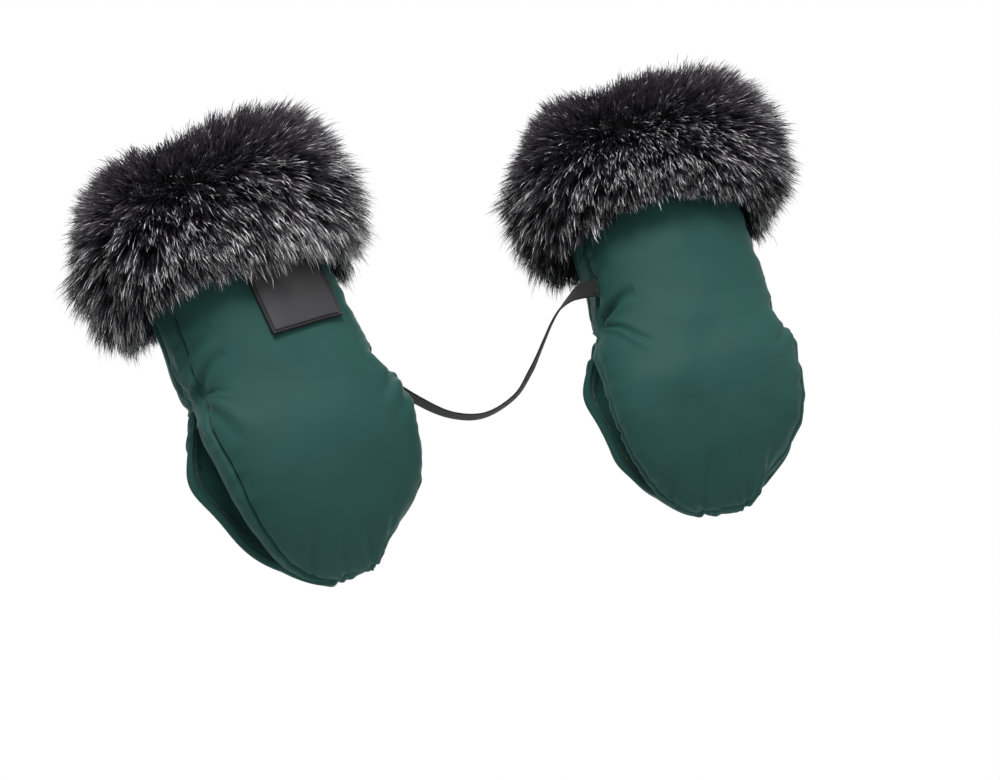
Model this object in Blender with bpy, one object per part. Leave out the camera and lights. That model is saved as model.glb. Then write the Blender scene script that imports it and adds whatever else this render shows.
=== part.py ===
"""A pair of padded hand muffs for a pushchair's handlebar, joined by a strap.

The row's X runs along the handlebar, Z points up towards the fur cuffs, and Y
points away from the side that carries the label. The origin lies on the
handlebar's axis, midway between the muffs. Lengths are in metres.
"""
import math

import bmesh
import bpy
from mathutils import Matrix, Vector

# Clearance between neighbouring pieces
GAP = 0.0003

# Heights on one muff, from the handlebar's axis
TIP_DROP = 0.0755
PINCH_RISE = 0.054
NECK_LENGTH = 0.050
CUFF_LENGTH = 0.086
OUTSIDE_BACKING_LENGTH = 0.054
INSIDE_BACKING_LENGTH = 0.018
FUR_CROWN_HEIGHT = 0.013
FUR_RISE = PINCH_RISE + NECK_LENGTH
CUFF_RISE = FUR_RISE + CUFF_LENGTH
BACKING_RISE = CUFF_RISE - OUTSIDE_BACKING_LENGTH
MOUTH_RISE = CUFF_RISE - INSIDE_BACKING_LENGTH
FUR_TOP_RISE = CUFF_RISE + FUR_CROWN_HEIGHT

# Half widths of one muff's outside
TIP_HALF_WIDTH = 0.019
BAR_HALF_WIDTH = 0.0645
PINCH_HALF_WIDTH = 0.061
WAIST_HALF_WIDTH = 0.057
CUFF_HALF_WIDTH = 0.054

# Depths of one muff's outside, from the side seams to the front and to the back
TIP_DEPTH = 0.008
FRONT_DEPTH = 0.054
PINCH_FRONT_DEPTH = 0.0455
CUFF_FRONT_DEPTH = 0.043
BACK_DEPTH = 0.0425
PINCH_BACK_DEPTH = 0.041
CUFF_BACK_DEPTH = 0.0385

# The padded wall, from the outer cloth to the lining's bare face
EDGE_WALL = 0.006
BAR_WALL = 0.012
PINCH_WALL = 0.011
CUFF_WALL = 0.009
SHELL_CLOTH = 0.0008
LINING_CLOTH = 0.0016

# The slot on each side through which the handlebar passes
SLOT_HALF_DEPTH = 0.020
SLOT_DROP = 0.056

# Closure tapes inside the two tips
TAPE_SEAT_DEPTH = 0.0026
TAPE_HALF_WIDTH = 0.014
TAPE_HEIGHT = 0.012
TAPE_MARGIN = 0.002

# The fur: a knitted backing folded over the cuff's edge, and its pile
BACKING_CLOTH = 0.0012
SIDE_PILE_LENGTH = 0.038
FACE_PILE_LENGTH = 0.031
MOUTH_PILE_LENGTH = 0.010
SKIRT_CLEARANCE = 0.0016

# The rubber label on the left muff's front
LABEL_WIDTH = 0.0475
LABEL_HEIGHT = 0.042
LABEL_FIELD = 0.0018
LABEL_RIM_WIDTH = 0.0016
LABEL_RIM_STEP = 0.0006
LABEL_CENTRE_SIDE = 0.0175
LABEL_LOW_RISE = 0.0715

# Thread tacks at the pinches
TACK_LENGTH = 0.008
TACK_WIDTH = 0.0022
TACK_THICKNESS = 0.0010
TACK_ROUNDING = 0.0003

# The strap that joins the two muffs
STRAP_WIDTH = 0.012
STRAP_THICKNESS = 0.0012

# Where the muffs sit on the handlebar
MUFF_SPACING = 0.256
LEFT_SPLAY = math.radians(12.0)
RIGHT_SPLAY = math.radians(1.5)
LEFT_TOE_IN = math.radians(3.0)
RIGHT_TOE_IN = math.radians(10.0)
LEFT_SWING = math.radians(-3.2)
RIGHT_SWING = math.radians(1.6)
PLACEMENTS = {
    "left": (LEFT_SPLAY, LEFT_TOE_IN, LEFT_SWING),
    "right": (RIGHT_SPLAY, RIGHT_TOE_IN, RIGHT_SWING),
}

# Roundness of the arch across, of its depth and of the lobes
ARCH_WIDTH_POWER = 0.78
ARCH_DEPTH_POWER = 0.75
WIDTH_LOBE_POWER = 1.7
DEPTH_LOBE_POWER = 1.35
SLOT_POWER = 0.8

# Places of the mesh's rows and columns
LOWER_ROW_SHARES = (0.0, 0.06, None, 0.43, 0.69)
SLOT_ROW_SHARES = (0.0, 0.36, 0.69, 1.0)
COLUMN_ANGLES = (-90, -78, -64, -50, -35, -18, 0, 18, 35, 50, 64, 78, 90)
GUSSET_COLUMN_COUNT = 2

# The pile's outline outside the cuff: outward and upward shares
PILE_OUTLINE_SHARES = (
    (0.45, 0.02),
    (0.85, 0.19),
    (1.00, 0.46),
    (0.97, 0.73),
    (0.72, 0.95),
    (0.28, 1.00),
)

# The strap's middle line, from the right muff's inner seam to the left one's,
# and the way its width points at each place
STRAP_ROUTE = (
    ((0.0713, -0.0120, 0.0811), (0.10, 0.00, 1.00)),
    ((0.0650, -0.0096, 0.0808), (0.22, 0.20, 0.95)),
    ((0.0577, -0.0056, 0.0784), (0.33, 0.65, 0.68)),
    ((0.0505, -0.0002, 0.0738), (0.31, 0.92, 0.32)),
    ((0.0455, 0.0062, 0.0680), (0.31, 0.93, 0.22)),
    ((0.0405, 0.0130, 0.0602), (0.34, 0.92, 0.20)),
    ((0.0355, 0.0190, 0.0522), (0.38, 0.91, 0.18)),
    ((0.0290, 0.0242, 0.0430), (0.45, 0.88, 0.15)),
    ((0.0160, 0.0282, 0.0296), (0.25, 0.97, 0.05)),
    ((-0.0060, 0.0300, 0.0210), (0.00, 1.00, 0.00)),
    ((-0.0280, 0.0290, 0.0245), (-0.10, 1.00, 0.05)),
    ((-0.0480, 0.0258, 0.0365), (-0.25, 0.97, 0.10)),
    ((-0.0625, 0.0190, 0.0510), (-0.30, 0.90, 0.30)),
    ((-0.0730, 0.0085, 0.0655), (-0.30, 0.75, 0.60)),
    ((-0.0793, -0.0045, 0.0752), (-0.29, 0.35, 0.90)),
    ((-0.0838, -0.0160, 0.0805), (-0.29, 0.10, 0.95)),
    ((-0.0880, -0.0253, 0.0835), (-0.29, 0.00, 1.00)),
)
STRAP_STEPS = 3


def mix(start, end, share):
    return start + (end - start) * share


def eased(share):
    """0 to 1 with a level start and end."""
    return 0.5 - 0.5 * math.cos(math.pi * share)


def rounded(share, power):
    """0 to 1 along a quarter of a superellipse: steep first, level last."""
    return (1 - (1 - share) ** power) ** (1 / power)


def sized_at(height, drop, tip, bar, pinch, waist, cuff, power):
    """A size that swells from the tip to the bar and narrows to the cuff."""
    if height <= 0:
        return mix(tip, bar, rounded(max(0.0, 1 + height / drop), power))
    if height <= PINCH_RISE:
        return mix(bar, pinch, eased(height / PINCH_RISE))
    if height <= FUR_RISE:
        share = (height - PINCH_RISE) / (FUR_RISE - PINCH_RISE)
        return mix(pinch, waist, eased(share))
    return mix(waist, cuff, eased((height - FUR_RISE) / (CUFF_RISE - FUR_RISE)))


def outer_half_width(height):
    return sized_at(height, TIP_DROP, TIP_HALF_WIDTH, BAR_HALF_WIDTH, PINCH_HALF_WIDTH,
                    WAIST_HALF_WIDTH, CUFF_HALF_WIDTH, WIDTH_LOBE_POWER)


def inner_half_width(height):
    sizes = (TIP_HALF_WIDTH, BAR_HALF_WIDTH, PINCH_HALF_WIDTH, WAIST_HALF_WIDTH, CUFF_HALF_WIDTH)
    return sized_at(height, INNER_DROP, *(size - EDGE_WALL for size in sizes), WIDTH_LOBE_POWER)


def outer_depth(height, is_front):
    bar = FRONT_DEPTH if is_front else BACK_DEPTH
    pinch = PINCH_FRONT_DEPTH if is_front else PINCH_BACK_DEPTH
    cuff = CUFF_FRONT_DEPTH if is_front else CUFF_BACK_DEPTH
    return sized_at(height, TIP_DROP, TIP_DEPTH, bar, pinch, (pinch + cuff) / 2, cuff,
                    DEPTH_LOBE_POWER)


def inner_depth(height, is_front):
    """How deep the hollow is. Near the tip it is a narrow seat for the tapes."""
    bar = (FRONT_DEPTH if is_front else BACK_DEPTH) - BAR_WALL
    pinch = (PINCH_FRONT_DEPTH if is_front else PINCH_BACK_DEPTH) - PINCH_WALL
    cuff = (CUFF_FRONT_DEPTH if is_front else CUFF_BACK_DEPTH) - CUFF_WALL
    if height < -SEAT_TOP_DROP:
        return TAPE_SEAT_DEPTH
    return sized_at(height, SEAT_TOP_DROP, TAPE_SEAT_DEPTH, bar, pinch, (pinch + cuff) / 2,
                    cuff, DEPTH_LOBE_POWER)


def slot_depth(height):
    """How far each half's side edge stands back from the seam plane."""
    span = PINCH_RISE if height > 0 else SLOT_DROP
    share = min(1.0, abs(height) / span)
    return SLOT_HALF_DEPTH * (1 - share * share) ** SLOT_POWER + GAP / 2


def arch_point(angle, height, half_width, depth, way):
    """A point of one half's arch; angle 0 is its crown, 90 degrees its edges."""
    edge = slot_depth(height)
    side = math.copysign(abs(math.sin(angle)) ** ARCH_WIDTH_POWER, angle)
    crown = max(0.0, math.cos(angle)) ** ARCH_DEPTH_POWER
    return Vector((half_width * side, way * (edge + (depth - edge) * crown), height))


def arch_surface(rows, is_front, is_outer):
    """Rows of points from the tip to the cuff, on the outer or the inner face."""
    way = -1 if is_front else 1
    width = outer_half_width if is_outer else inner_half_width
    depth = outer_depth if is_outer else inner_depth
    return [[arch_point(math.radians(angle), height, width(height), depth(height, is_front), way)
             for angle in COLUMN_ANGLES] for height in rows]


INNER_DROP = TIP_DROP - EDGE_WALL
SEAT_TOP_DROP = INNER_DROP - TAPE_HEIGHT - 2 * TAPE_MARGIN
SEAT_ROW_SHARE = 1 - SEAT_TOP_DROP / INNER_DROP


def row_heights(drop):
    """Heights of the rows from the tip at this drop up to the cuff's edge."""
    shares = [SEAT_ROW_SHARE if share is None else share for share in LOWER_ROW_SHARES]
    lower = [drop * (share - 1) for share in shares]
    slot = [PINCH_RISE * share for share in SLOT_ROW_SHARES]
    neck = (PINCH_RISE + FUR_RISE) / 2
    return lower + slot + [neck, FUR_RISE, BACKING_RISE, MOUTH_RISE, CUFF_RISE]


PINCH_ROW = len(LOWER_ROW_SHARES) + len(SLOT_ROW_SHARES) - 1


def flap_rows(drop):
    rows = row_heights(drop)[:PINCH_ROW + 1]
    rows[-1] -= GAP / 2
    return rows


def back_rows(drop):
    rows = row_heights(drop)[PINCH_ROW:]
    rows[0] += GAP / 2
    return rows


def surface_normals(grid, way, level_rows):
    """Outward normals; edges keep to the seam plane and level rows to theirs."""
    normals = []
    last_row, last_column = len(grid) - 1, len(grid[0]) - 1
    for i, row in enumerate(grid):
        found = []
        for j in range(len(row)):
            across = row[min(j + 1, last_column)] - row[max(j - 1, 0)]
            along = grid[min(i + 1, last_row)][j] - grid[max(i - 1, 0)][j]
            normal = along.cross(across) * way
            if j in (0, last_column):
                normal.y = 0
            if i in level_rows:
                normal.z = 0
            found.append(normal.normalized())
        normals.append(found)
    return normals


def offset_surface(grid, distance, way, level_rows):
    normals = surface_normals(grid, way, level_rows)
    return [[point + normal * distance for point, normal in zip(row, row_normals)]
            for row, row_normals in zip(grid, normals)]


def cell_triangles(a, b, c, d, slanted):
    return ((a, b, c), (a, c, d)) if slanted else ((a, b, d), (b, c, d))


def add_closed_layer(mesh, outer, inner, crown_column):
    """Adds the solid between two grids of the same rows and columns.

    Its cells are split alike on both sides of the crown, in every layer and strip.
    """
    rows, columns = len(outer), len(outer[0])
    shells = []
    for grid in (outer, inner):
        shells.append([[mesh.verts.new(point) for point in row] for row in grid])
    out, inside = shells
    for i in range(rows - 1):
        for j in range(columns - 1):
            slanted = j < crown_column
            for grid in shells:
                corners = (grid[i][j], grid[i][j + 1], grid[i + 1][j + 1], grid[i + 1][j])
                for triangle in cell_triangles(*corners, slanted):
                    mesh.faces.new(triangle)
    for i in range(rows - 1):
        for j in (0, columns - 1):
            mesh.faces.new((out[i][j], inside[i][j], inside[i + 1][j]))
            mesh.faces.new((out[i][j], inside[i + 1][j], out[i + 1][j]))
    for j in range(columns - 1):
        for i in (0, rows - 1):
            mesh.faces.new((out[i][j], inside[i][j], inside[i][j + 1]))
            mesh.faces.new((out[i][j], inside[i][j + 1], out[i][j + 1]))


def moved_towards(point, target, distance):
    return point + (target - point).normalized() * distance


def columns_between(grid, first, last):
    """A strip of the grid, drawn back half a gap from each seam that it meets."""
    strip = [list(row[first:last + 1]) for row in grid]
    for row in strip:
        if first > 0:
            row[0] = moved_towards(row[0], row[1], GAP / 2)
        if last < len(grid[0]) - 1:
            row[-1] = moved_towards(row[-1], row[-2], GAP / 2)
    return strip


def half_layers(is_front, outer_rows, inner_rows, level_rows):
    """The two faces of one half's outer cloth, wadding and lining."""
    way = -1 if is_front else 1
    outer = arch_surface(outer_rows, is_front, True)
    inner = arch_surface(inner_rows, is_front, False)

    def inward(distance):
        return offset_surface(outer, -distance, way, level_rows)

    def outward(distance):
        return offset_surface(inner, distance, way, level_rows)

    return {
        "panel": (outer, inward(SHELL_CLOTH)),
        "wadding": (inward(SHELL_CLOTH + GAP), outward(LINING_CLOTH + GAP)),
        "lining": (outward(LINING_CLOTH), inner),
    }


def make_material(name, colour, roughness):
    material = bpy.data.materials.new(name)
    material.use_nodes = True
    shader = material.node_tree.nodes["Principled BSDF"]
    shader.inputs["Base Color"].default_value = (*colour, 1)
    shader.inputs["Roughness"].default_value = roughness
    return material


def make_materials():
    return {
        "shell_cloth": make_material("shell_cloth", (0.038, 0.092, 0.085), 0.55),
        "wadding": make_material("wadding", (0.86, 0.86, 0.84), 0.95),
        "lining_fleece": make_material("lining_fleece", (0.030, 0.030, 0.032), 0.95),
        "fur_backing": make_material("fur_backing", (0.020, 0.020, 0.021), 0.90),
        "fur_pile": make_material("fur_pile", (0.045, 0.044, 0.046), 0.85),
        "hook_tape": make_material("hook_tape", (0.012, 0.012, 0.013), 0.70),
        "loop_tape": make_material("loop_tape", (0.018, 0.018, 0.020), 0.95),
        "thread": make_material("thread", (0.022, 0.050, 0.046), 0.70),
        "label_rubber": make_material("label_rubber", (0.028, 0.028, 0.030), 0.45),
        "strap_webbing": make_material("strap_webbing", (0.010, 0.010, 0.011), 0.80),
    }


def add_object(name, mesh, material, parent=None, origin=Vector()):
    """Links a bmesh as an object whose points are measured from origin."""
    mesh.normal_update()
    bmesh.ops.recalc_face_normals(mesh, faces=mesh.faces)
    bmesh.ops.translate(mesh, verts=mesh.verts, vec=-origin)
    data = bpy.data.meshes.new(name)
    mesh.to_mesh(data)
    mesh.free()
    data.materials.append(material)
    item = bpy.data.objects.new(name, data)
    bpy.context.collection.objects.link(item)
    item.parent = parent
    return item


def add_empty(name, place, parent=None):
    empty = bpy.data.objects.new(name, None)
    empty.empty_display_size = BAR_HALF_WIDTH
    empty.location = place
    empty.parent = parent
    bpy.context.collection.objects.link(empty)
    return empty


def add_layer(name, faces, material, parent, origin=Vector(), crown_column=None):
    if crown_column is None:
        crown_column = len(faces[0][0]) // 2
    mesh = bmesh.new()
    add_closed_layer(mesh, *faces, crown_column)
    return add_object(name, mesh, material, parent, origin)


def add_front(side, materials, frame):
    """The front half: its main panel, the gussets beside it, wadding and lining."""
    rows = row_heights(TIP_DROP)
    layers = half_layers(True, rows, row_heights(INNER_DROP), (len(rows) - 1,))
    last = len(COLUMN_ANGLES) - 1
    outer_end, inner_end = ((0, last) if side == "left" else (last, 0))
    strips = {
        "front_panel": (GUSSET_COLUMN_COUNT, last - GUSSET_COLUMN_COUNT),
        "outer_gusset": sorted((outer_end, abs(outer_end - GUSSET_COLUMN_COUNT))),
        "inner_gusset": sorted((inner_end, abs(inner_end - GUSSET_COLUMN_COUNT))),
    }
    for name, (first, final) in strips.items():
        faces = [columns_between(grid, first, final) for grid in layers["panel"]]
        add_layer(f"{side}_{name}", faces, materials["shell_cloth"], frame,
                  crown_column=last // 2 - first)
    add_layer(f"{side}_front_wadding", layers["wadding"], materials["wadding"], frame)
    add_layer(f"{side}_front_lining", layers["lining"], materials["lining_fleece"], frame)


def add_back(side, materials, frame):
    """The back half above the pinches, where both halves are sewn together."""
    rows = back_rows(TIP_DROP)
    layers = half_layers(False, rows, back_rows(INNER_DROP), (0, len(rows) - 1))
    add_layer(f"{side}_back_panel", layers["panel"], materials["shell_cloth"], frame)
    add_layer(f"{side}_back_wadding", layers["wadding"], materials["wadding"], frame)
    add_layer(f"{side}_back_lining", layers["lining"], materials["lining_fleece"], frame)


def add_flap(side, materials, hinge, origin):
    """The back's lower lobe, which folds open below the pinches."""
    rows = flap_rows(TIP_DROP)
    layers = half_layers(False, rows, flap_rows(INNER_DROP), (len(rows) - 1,))
    cloth, fleece = materials["shell_cloth"], materials["lining_fleece"]
    add_layer(f"{side}_flap_panel", layers["panel"], cloth, hinge, origin)
    add_layer(f"{side}_flap_wadding", layers["wadding"], materials["wadding"], hinge, origin)
    add_layer(f"{side}_flap_lining", layers["lining"], fleece, hinge, origin)


def seat_depth_at(side_place, height):
    """The inner face's depth at a place across the tip, where the tape lies."""
    share = (abs(side_place) / inner_half_width(height)) ** (1 / ARCH_WIDTH_POWER)
    crown = math.sqrt(1 - share * share) ** ARCH_DEPTH_POWER
    return mix(GAP / 2, TAPE_SEAT_DEPTH, crown)


def add_tape(name, way, material, parent, origin=Vector()):
    """A strip of closure tape, flat where it meets the one that faces it."""
    low = -INNER_DROP + TAPE_MARGIN
    heights = [low + TAPE_HEIGHT * share for share in (0.0, 0.5, 1.0)]
    places = [TAPE_HALF_WIDTH * share for share in (-1.0, -0.5, 0.0, 0.5, 1.0)]
    flat = [[Vector((x, way * GAP / 2, z)) for x in places] for z in heights]
    sewn = [[Vector((x, way * (seat_depth_at(x, z) - GAP), z)) for x in places]
            for z in heights]
    return add_layer(name, (sewn, flat), material, parent, origin)


def loop_walls(height):
    """Outer and inner points right round the cuff at a height, with normals."""
    walls = []
    for is_front in (True, False):
        way = -1 if is_front else 1
        angles = COLUMN_ANGLES if is_front else COLUMN_ANGLES[-2:0:-1]
        for angle in angles:
            turn = math.radians(angle)
            points = []
            for width, depth in ((outer_half_width, outer_depth), (inner_half_width, inner_depth)):
                points.append(arch_point(turn, height, width(height), depth(height, is_front), way))
            if abs(angle) == 90:
                for point in points:
                    point.y = 0
            walls.append(points)
    count = len(walls)
    loop = []
    for index, (outer, inner) in enumerate(walls):
        normals = []
        for face in (0, 1):
            across = walls[(index + 1) % count][face] - walls[index - 1][face]
            normals.append(Vector((across.y, -across.x, 0)).normalized())
        loop.append((outer, inner, *normals))
    return loop


def ring_section(index, outline):
    """Points of a section at one place of the cuff.

    Each entry is (face, outward distance, height), where face is 0 for the muff's
    outside and 1 for its lining, and the distance is measured from that face. Two
    distances in one entry are the ones at the cuff's faces and at its sides.
    """
    points = []
    for face, distance, height in outline:
        loop = loop_walls(min(height, CUFF_RISE))[index]
        place, normal = loop[face], loop[2 + face]
        if isinstance(distance, tuple):
            distance = mix(*distance, abs(normal.x))
        place = place + normal * distance
        points.append(Vector((place.x, place.y, height)))
    return points


def add_ring(name, outline, material, parent):
    """A ring round the cuff, closed on itself, with the same section all round."""
    count = len(loop_walls(CUFF_RISE))
    mesh = bmesh.new()
    rings = [[mesh.verts.new(point) for point in ring_section(index, outline)]
             for index in range(count)]
    corners = len(outline)
    for index, ring in enumerate(rings):
        following = rings[(index + 1) % count]
        for k in range(corners):
            after = (k + 1) % corners
            quad = (ring[k], following[k], following[after], ring[after])
            for triangle in cell_triangles(*quad, index % 2 == 0):
                mesh.faces.new(triangle)
    return add_object(name, mesh, material, parent)


def add_fur(side, materials, frame):
    """The fur's backing, folded over the cuff's edge, and the pile that it carries."""
    face = GAP + BACKING_CLOTH
    backing = (
        (0, GAP, BACKING_RISE),
        (0, face, BACKING_RISE),
        (0, face, CUFF_RISE + face),
        (1, -face, CUFF_RISE + face),
        (1, -face, MOUTH_RISE),
        (1, -GAP, MOUTH_RISE),
        (1, -GAP, CUFF_RISE + GAP),
        (0, GAP, CUFF_RISE + GAP),
    )
    add_ring(f"{side}_fur_backing", backing, materials["fur_backing"], frame)
    clear = face + GAP
    skirt = LABEL_FIELD + LABEL_RIM_STEP + SKIRT_CLEARANCE
    span = FUR_TOP_RISE - FUR_RISE
    outside = [(0, (FACE_PILE_LENGTH * out, SIDE_PILE_LENGTH * out), FUR_RISE + span * up)
               for out, up in PILE_OUTLINE_SHARES]
    inside = clear + MOUTH_PILE_LENGTH
    pile = (
        (0, skirt, FUR_RISE),
        *outside,
        (1, -clear, FUR_TOP_RISE - GAP),
        (1, -inside, (CUFF_RISE + FUR_TOP_RISE) / 2),
        (1, -inside, (CUFF_RISE + MOUTH_RISE) / 2),
        (1, -clear, MOUTH_RISE),
        (1, -clear, CUFF_RISE + clear),
        (0, clear, CUFF_RISE + clear),
        (0, clear, BACKING_RISE - GAP),
        (0, skirt, BACKING_RISE - GAP),
    )
    add_ring(f"{side}_fur_pile", pile, materials["fur_pile"], frame)


def front_depth_at(side_place, row_height):
    """How far forward the front panel stands at a place across one of its rows."""
    share = (abs(side_place) / outer_half_width(row_height)) ** (1 / ARCH_WIDTH_POWER)
    crown = math.sqrt(max(0.0, 1 - share * share)) ** ARCH_DEPTH_POWER
    return mix(slot_depth(row_height), outer_depth(row_height, True), crown)


def front_point(side_place, height):
    """The front panel's face, which runs straight between two rows."""
    rows = row_heights(TIP_DROP)
    above = min(index for index, row in enumerate(rows) if row > height)
    low, high = rows[above - 1], rows[above]
    depth = mix(front_depth_at(side_place, low), front_depth_at(side_place, high),
                (height - low) / (high - low))
    return Vector((side_place, -depth, height))


def front_normal(side_place, height):
    step = LABEL_RIM_WIDTH
    across = front_point(side_place + step, height) - front_point(side_place - step, height)
    along = front_point(side_place, height + step) - front_point(side_place, height - step)
    return across.cross(along).normalized()


def rimmed_places(length, cells):
    """Places along one side of the label, with lines for its raised rim."""
    start = LABEL_RIM_WIDTH + LABEL_RIM_STEP
    middle = [mix(start, length - start, index / cells) for index in range(cells + 1)]
    return [0, LABEL_RIM_WIDTH, *middle, length - LABEL_RIM_WIDTH, length]


def add_label(materials, frame):
    """A bare moulded rubber label with a raised rim, bent to the front panel."""
    across = rimmed_places(LABEL_WIDTH, 4)
    up = rimmed_places(LABEL_HEIGHT, 3)
    top, bottom = [], []
    for i, rise in enumerate(up):
        top_row, bottom_row = [], []
        for j, place in enumerate(across):
            side_place = LABEL_CENTRE_SIDE - LABEL_WIDTH / 2 + place
            height = LABEL_LOW_RISE + rise
            on_rim = i < 2 or j < 2 or i > len(up) - 3 or j > len(across) - 3
            lift = GAP + LABEL_FIELD + (LABEL_RIM_STEP if on_rim else 0)
            point, normal = front_point(side_place, height), front_normal(side_place, height)
            bottom_row.append(point + normal * GAP)
            top_row.append(point + normal * lift)
        top.append(top_row)
        bottom.append(bottom_row)
    add_layer("left_label_patch", (top, bottom), materials["label_rubber"], frame)


def add_tack(name, column, material, frame):
    """A dense bar of thread across a gusset's seam, where the side is pinched in."""
    half_width, depth = outer_half_width(PINCH_RISE), outer_depth(PINCH_RISE, True)
    before, place, after = (
        arch_point(math.radians(angle), PINCH_RISE, half_width, depth, -1)
        for angle in COLUMN_ANGLES[column - 1:column + 2])
    across = (after - before).normalized()
    normal = Vector((across.y, -across.x, 0))
    up = across.cross(normal)
    centre = place + normal * (GAP + TACK_THICKNESS / 2)
    mesh = bmesh.new()
    bmesh.ops.create_cube(mesh, size=1.0)
    sizes = Matrix.Diagonal((TACK_LENGTH, TACK_THICKNESS, TACK_WIDTH, 1))
    turned = Matrix((across, normal, up)).transposed().to_4x4()
    mesh.transform(Matrix.Translation(centre) @ turned @ sizes)
    mesh.normal_update()
    bmesh.ops.bevel(mesh, geom=mesh.edges[:], offset=TACK_ROUNDING, segments=1,
                    profile=0.5, affect="EDGES", material=-1)
    return add_object(name, mesh, material, frame)


def add_tacks(side, materials, frame):
    low_seam, high_seam = GUSSET_COLUMN_COUNT, len(COLUMN_ANGLES) - 1 - GUSSET_COLUMN_COUNT
    outer, inner = (low_seam, high_seam) if side == "left" else (high_seam, low_seam)
    for name, column in (("outer", outer), ("inner", inner)):
        add_tack(f"{side}_{name}_bar_tack", column, materials["thread"], frame)


def smooth_route(points, steps):
    """A smooth curve through every point, sampled evenly between each two."""
    ends = [points[0] * 2 - points[1], *points, points[-1] * 2 - points[-2]]
    route = []
    for a, b, c, d in zip(ends, ends[1:], ends[2:], ends[3:]):
        for step in range(steps):
            t = step / steps
            route.append(0.5 * (2 * b + (c - a) * t + (2 * a - 5 * b + 4 * c - d) * t ** 2
                                + (3 * b - a - 3 * c + d) * t ** 3))
    route.append(points[-1].copy())
    return route


def add_strap(materials):
    """Flat webbing that hangs between the muffs' inner seams."""
    line = smooth_route([Vector(place) for place, _ in STRAP_ROUTE], STRAP_STEPS)
    ways = smooth_route([Vector(way) for _, way in STRAP_ROUTE], STRAP_STEPS)
    mesh = bmesh.new()
    rings = []
    for index, (centre, way) in enumerate(zip(line, ways)):
        ahead = line[min(index + 1, len(line) - 1)] - line[max(index - 1, 0)]
        ahead.normalize()
        width = (way - ahead * way.dot(ahead)).normalized() * STRAP_WIDTH / 2
        thickness = ahead.cross(width).normalized() * STRAP_THICKNESS / 2
        corners = (width + thickness, thickness - width, -width - thickness, width - thickness)
        rings.append([mesh.verts.new(centre + corner) for corner in corners])
    for ring, following in zip(rings, rings[1:]):
        for k in range(4):
            after = (k + 1) % 4
            mesh.faces.new((ring[k], ring[after], following[after], following[k]))
    mesh.faces.new(rings[0])
    mesh.faces.new(rings[-1])
    return add_object("link_strap", mesh, materials["strap_webbing"])


def add_muff(side, materials):
    """One muff on its own empty, whose place lies on the handlebar's axis."""
    way = -1 if side == "left" else 1
    frame = add_empty(f"{side}_muff_frame", (way * MUFF_SPACING / 2, 0, 0))
    frame.rotation_mode = "ZYX"
    splay, toe_in, swing = PLACEMENTS[side]
    frame.rotation_euler = (-swing, way * splay, -way * toe_in)
    hinge_place = Vector((0, PINCH_BACK_DEPTH, PINCH_RISE))
    hinge = add_empty(f"{side}_flap_hinge", hinge_place, frame)
    add_front(side, materials, frame)
    add_back(side, materials, frame)
    add_flap(side, materials, hinge, hinge_place)
    add_fur(side, materials, frame)
    add_tape(f"{side}_loop_tape", -1, materials["loop_tape"], frame)
    add_tape(f"{side}_hook_tape", 1, materials["hook_tape"], hinge, hinge_place)
    add_tacks(side, materials, frame)
    if side == "left":
        add_label(materials, frame)


def main():
    for item in list(bpy.data.objects):
        bpy.data.objects.remove(item)
    materials = make_materials()
    add_muff("left", materials)
    add_muff("right", materials)
    add_strap(materials)


main()
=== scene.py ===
import math

import bmesh
import bpy
import numpy as np
from mathutils import Matrix, Vector


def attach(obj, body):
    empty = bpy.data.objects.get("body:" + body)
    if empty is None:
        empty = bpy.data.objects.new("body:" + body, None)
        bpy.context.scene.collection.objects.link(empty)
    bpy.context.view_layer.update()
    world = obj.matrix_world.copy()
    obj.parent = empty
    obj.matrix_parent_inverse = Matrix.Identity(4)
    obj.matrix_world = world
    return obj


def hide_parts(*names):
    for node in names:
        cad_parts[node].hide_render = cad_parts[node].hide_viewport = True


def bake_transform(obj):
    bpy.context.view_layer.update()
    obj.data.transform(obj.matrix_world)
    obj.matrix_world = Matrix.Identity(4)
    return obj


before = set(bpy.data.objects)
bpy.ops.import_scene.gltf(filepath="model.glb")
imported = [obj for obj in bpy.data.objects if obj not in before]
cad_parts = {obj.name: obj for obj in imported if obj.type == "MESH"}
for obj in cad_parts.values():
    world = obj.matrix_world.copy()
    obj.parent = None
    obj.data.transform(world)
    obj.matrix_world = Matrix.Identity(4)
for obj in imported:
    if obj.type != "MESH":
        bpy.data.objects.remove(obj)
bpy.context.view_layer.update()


# Colours, nodes and materials

def linearColour(text):  # an sRGB hex colour, as a shader takes it
    parts = [int(text[i:i + 2], 16) / 255 for i in (1, 3, 5)]
    return (*[p / 12.92 if p <= 0.04045 else ((p + 0.055) / 1.055) ** 2.4 for p in parts], 1.0)


def feed(tree, socket, value):  # with a value, a hex colour, or the output of another node
    if isinstance(value, bpy.types.NodeSocket):
        tree.links.new(value, socket)
    else:
        socket.default_value = linearColour(value) if isinstance(value, str) else value


def addNode(tree, kind, sockets=(), output=0, **settings):  # gives one of the new node's outputs
    node = tree.nodes.new("ShaderNode" + kind)
    for name, value in settings.items():
        setattr(node, name, value)
    for key, value in dict(sockets).items():
        feed(tree, node.inputs[key], value)
    return node.outputs[output] if len(node.outputs) else None


def newMaterial(name, **sockets):  # sockets are the shader's own, with _ for a space
    material = bpy.data.materials.new(name)
    material.use_nodes = True
    tree = material.node_tree
    shader = tree.nodes["Principled BSDF"]
    for socket, value in sockets.items():
        feed(tree, shader.inputs[socket.replace("_", " ")], value)
    return material, tree, shader


def colourBetween(tree, share, low, high):  # low at share 0, high at share 1
    return addNode(tree, "Mix", {0: share, 6: low, 7: high}, 2, data_type="RGBA")


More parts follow.
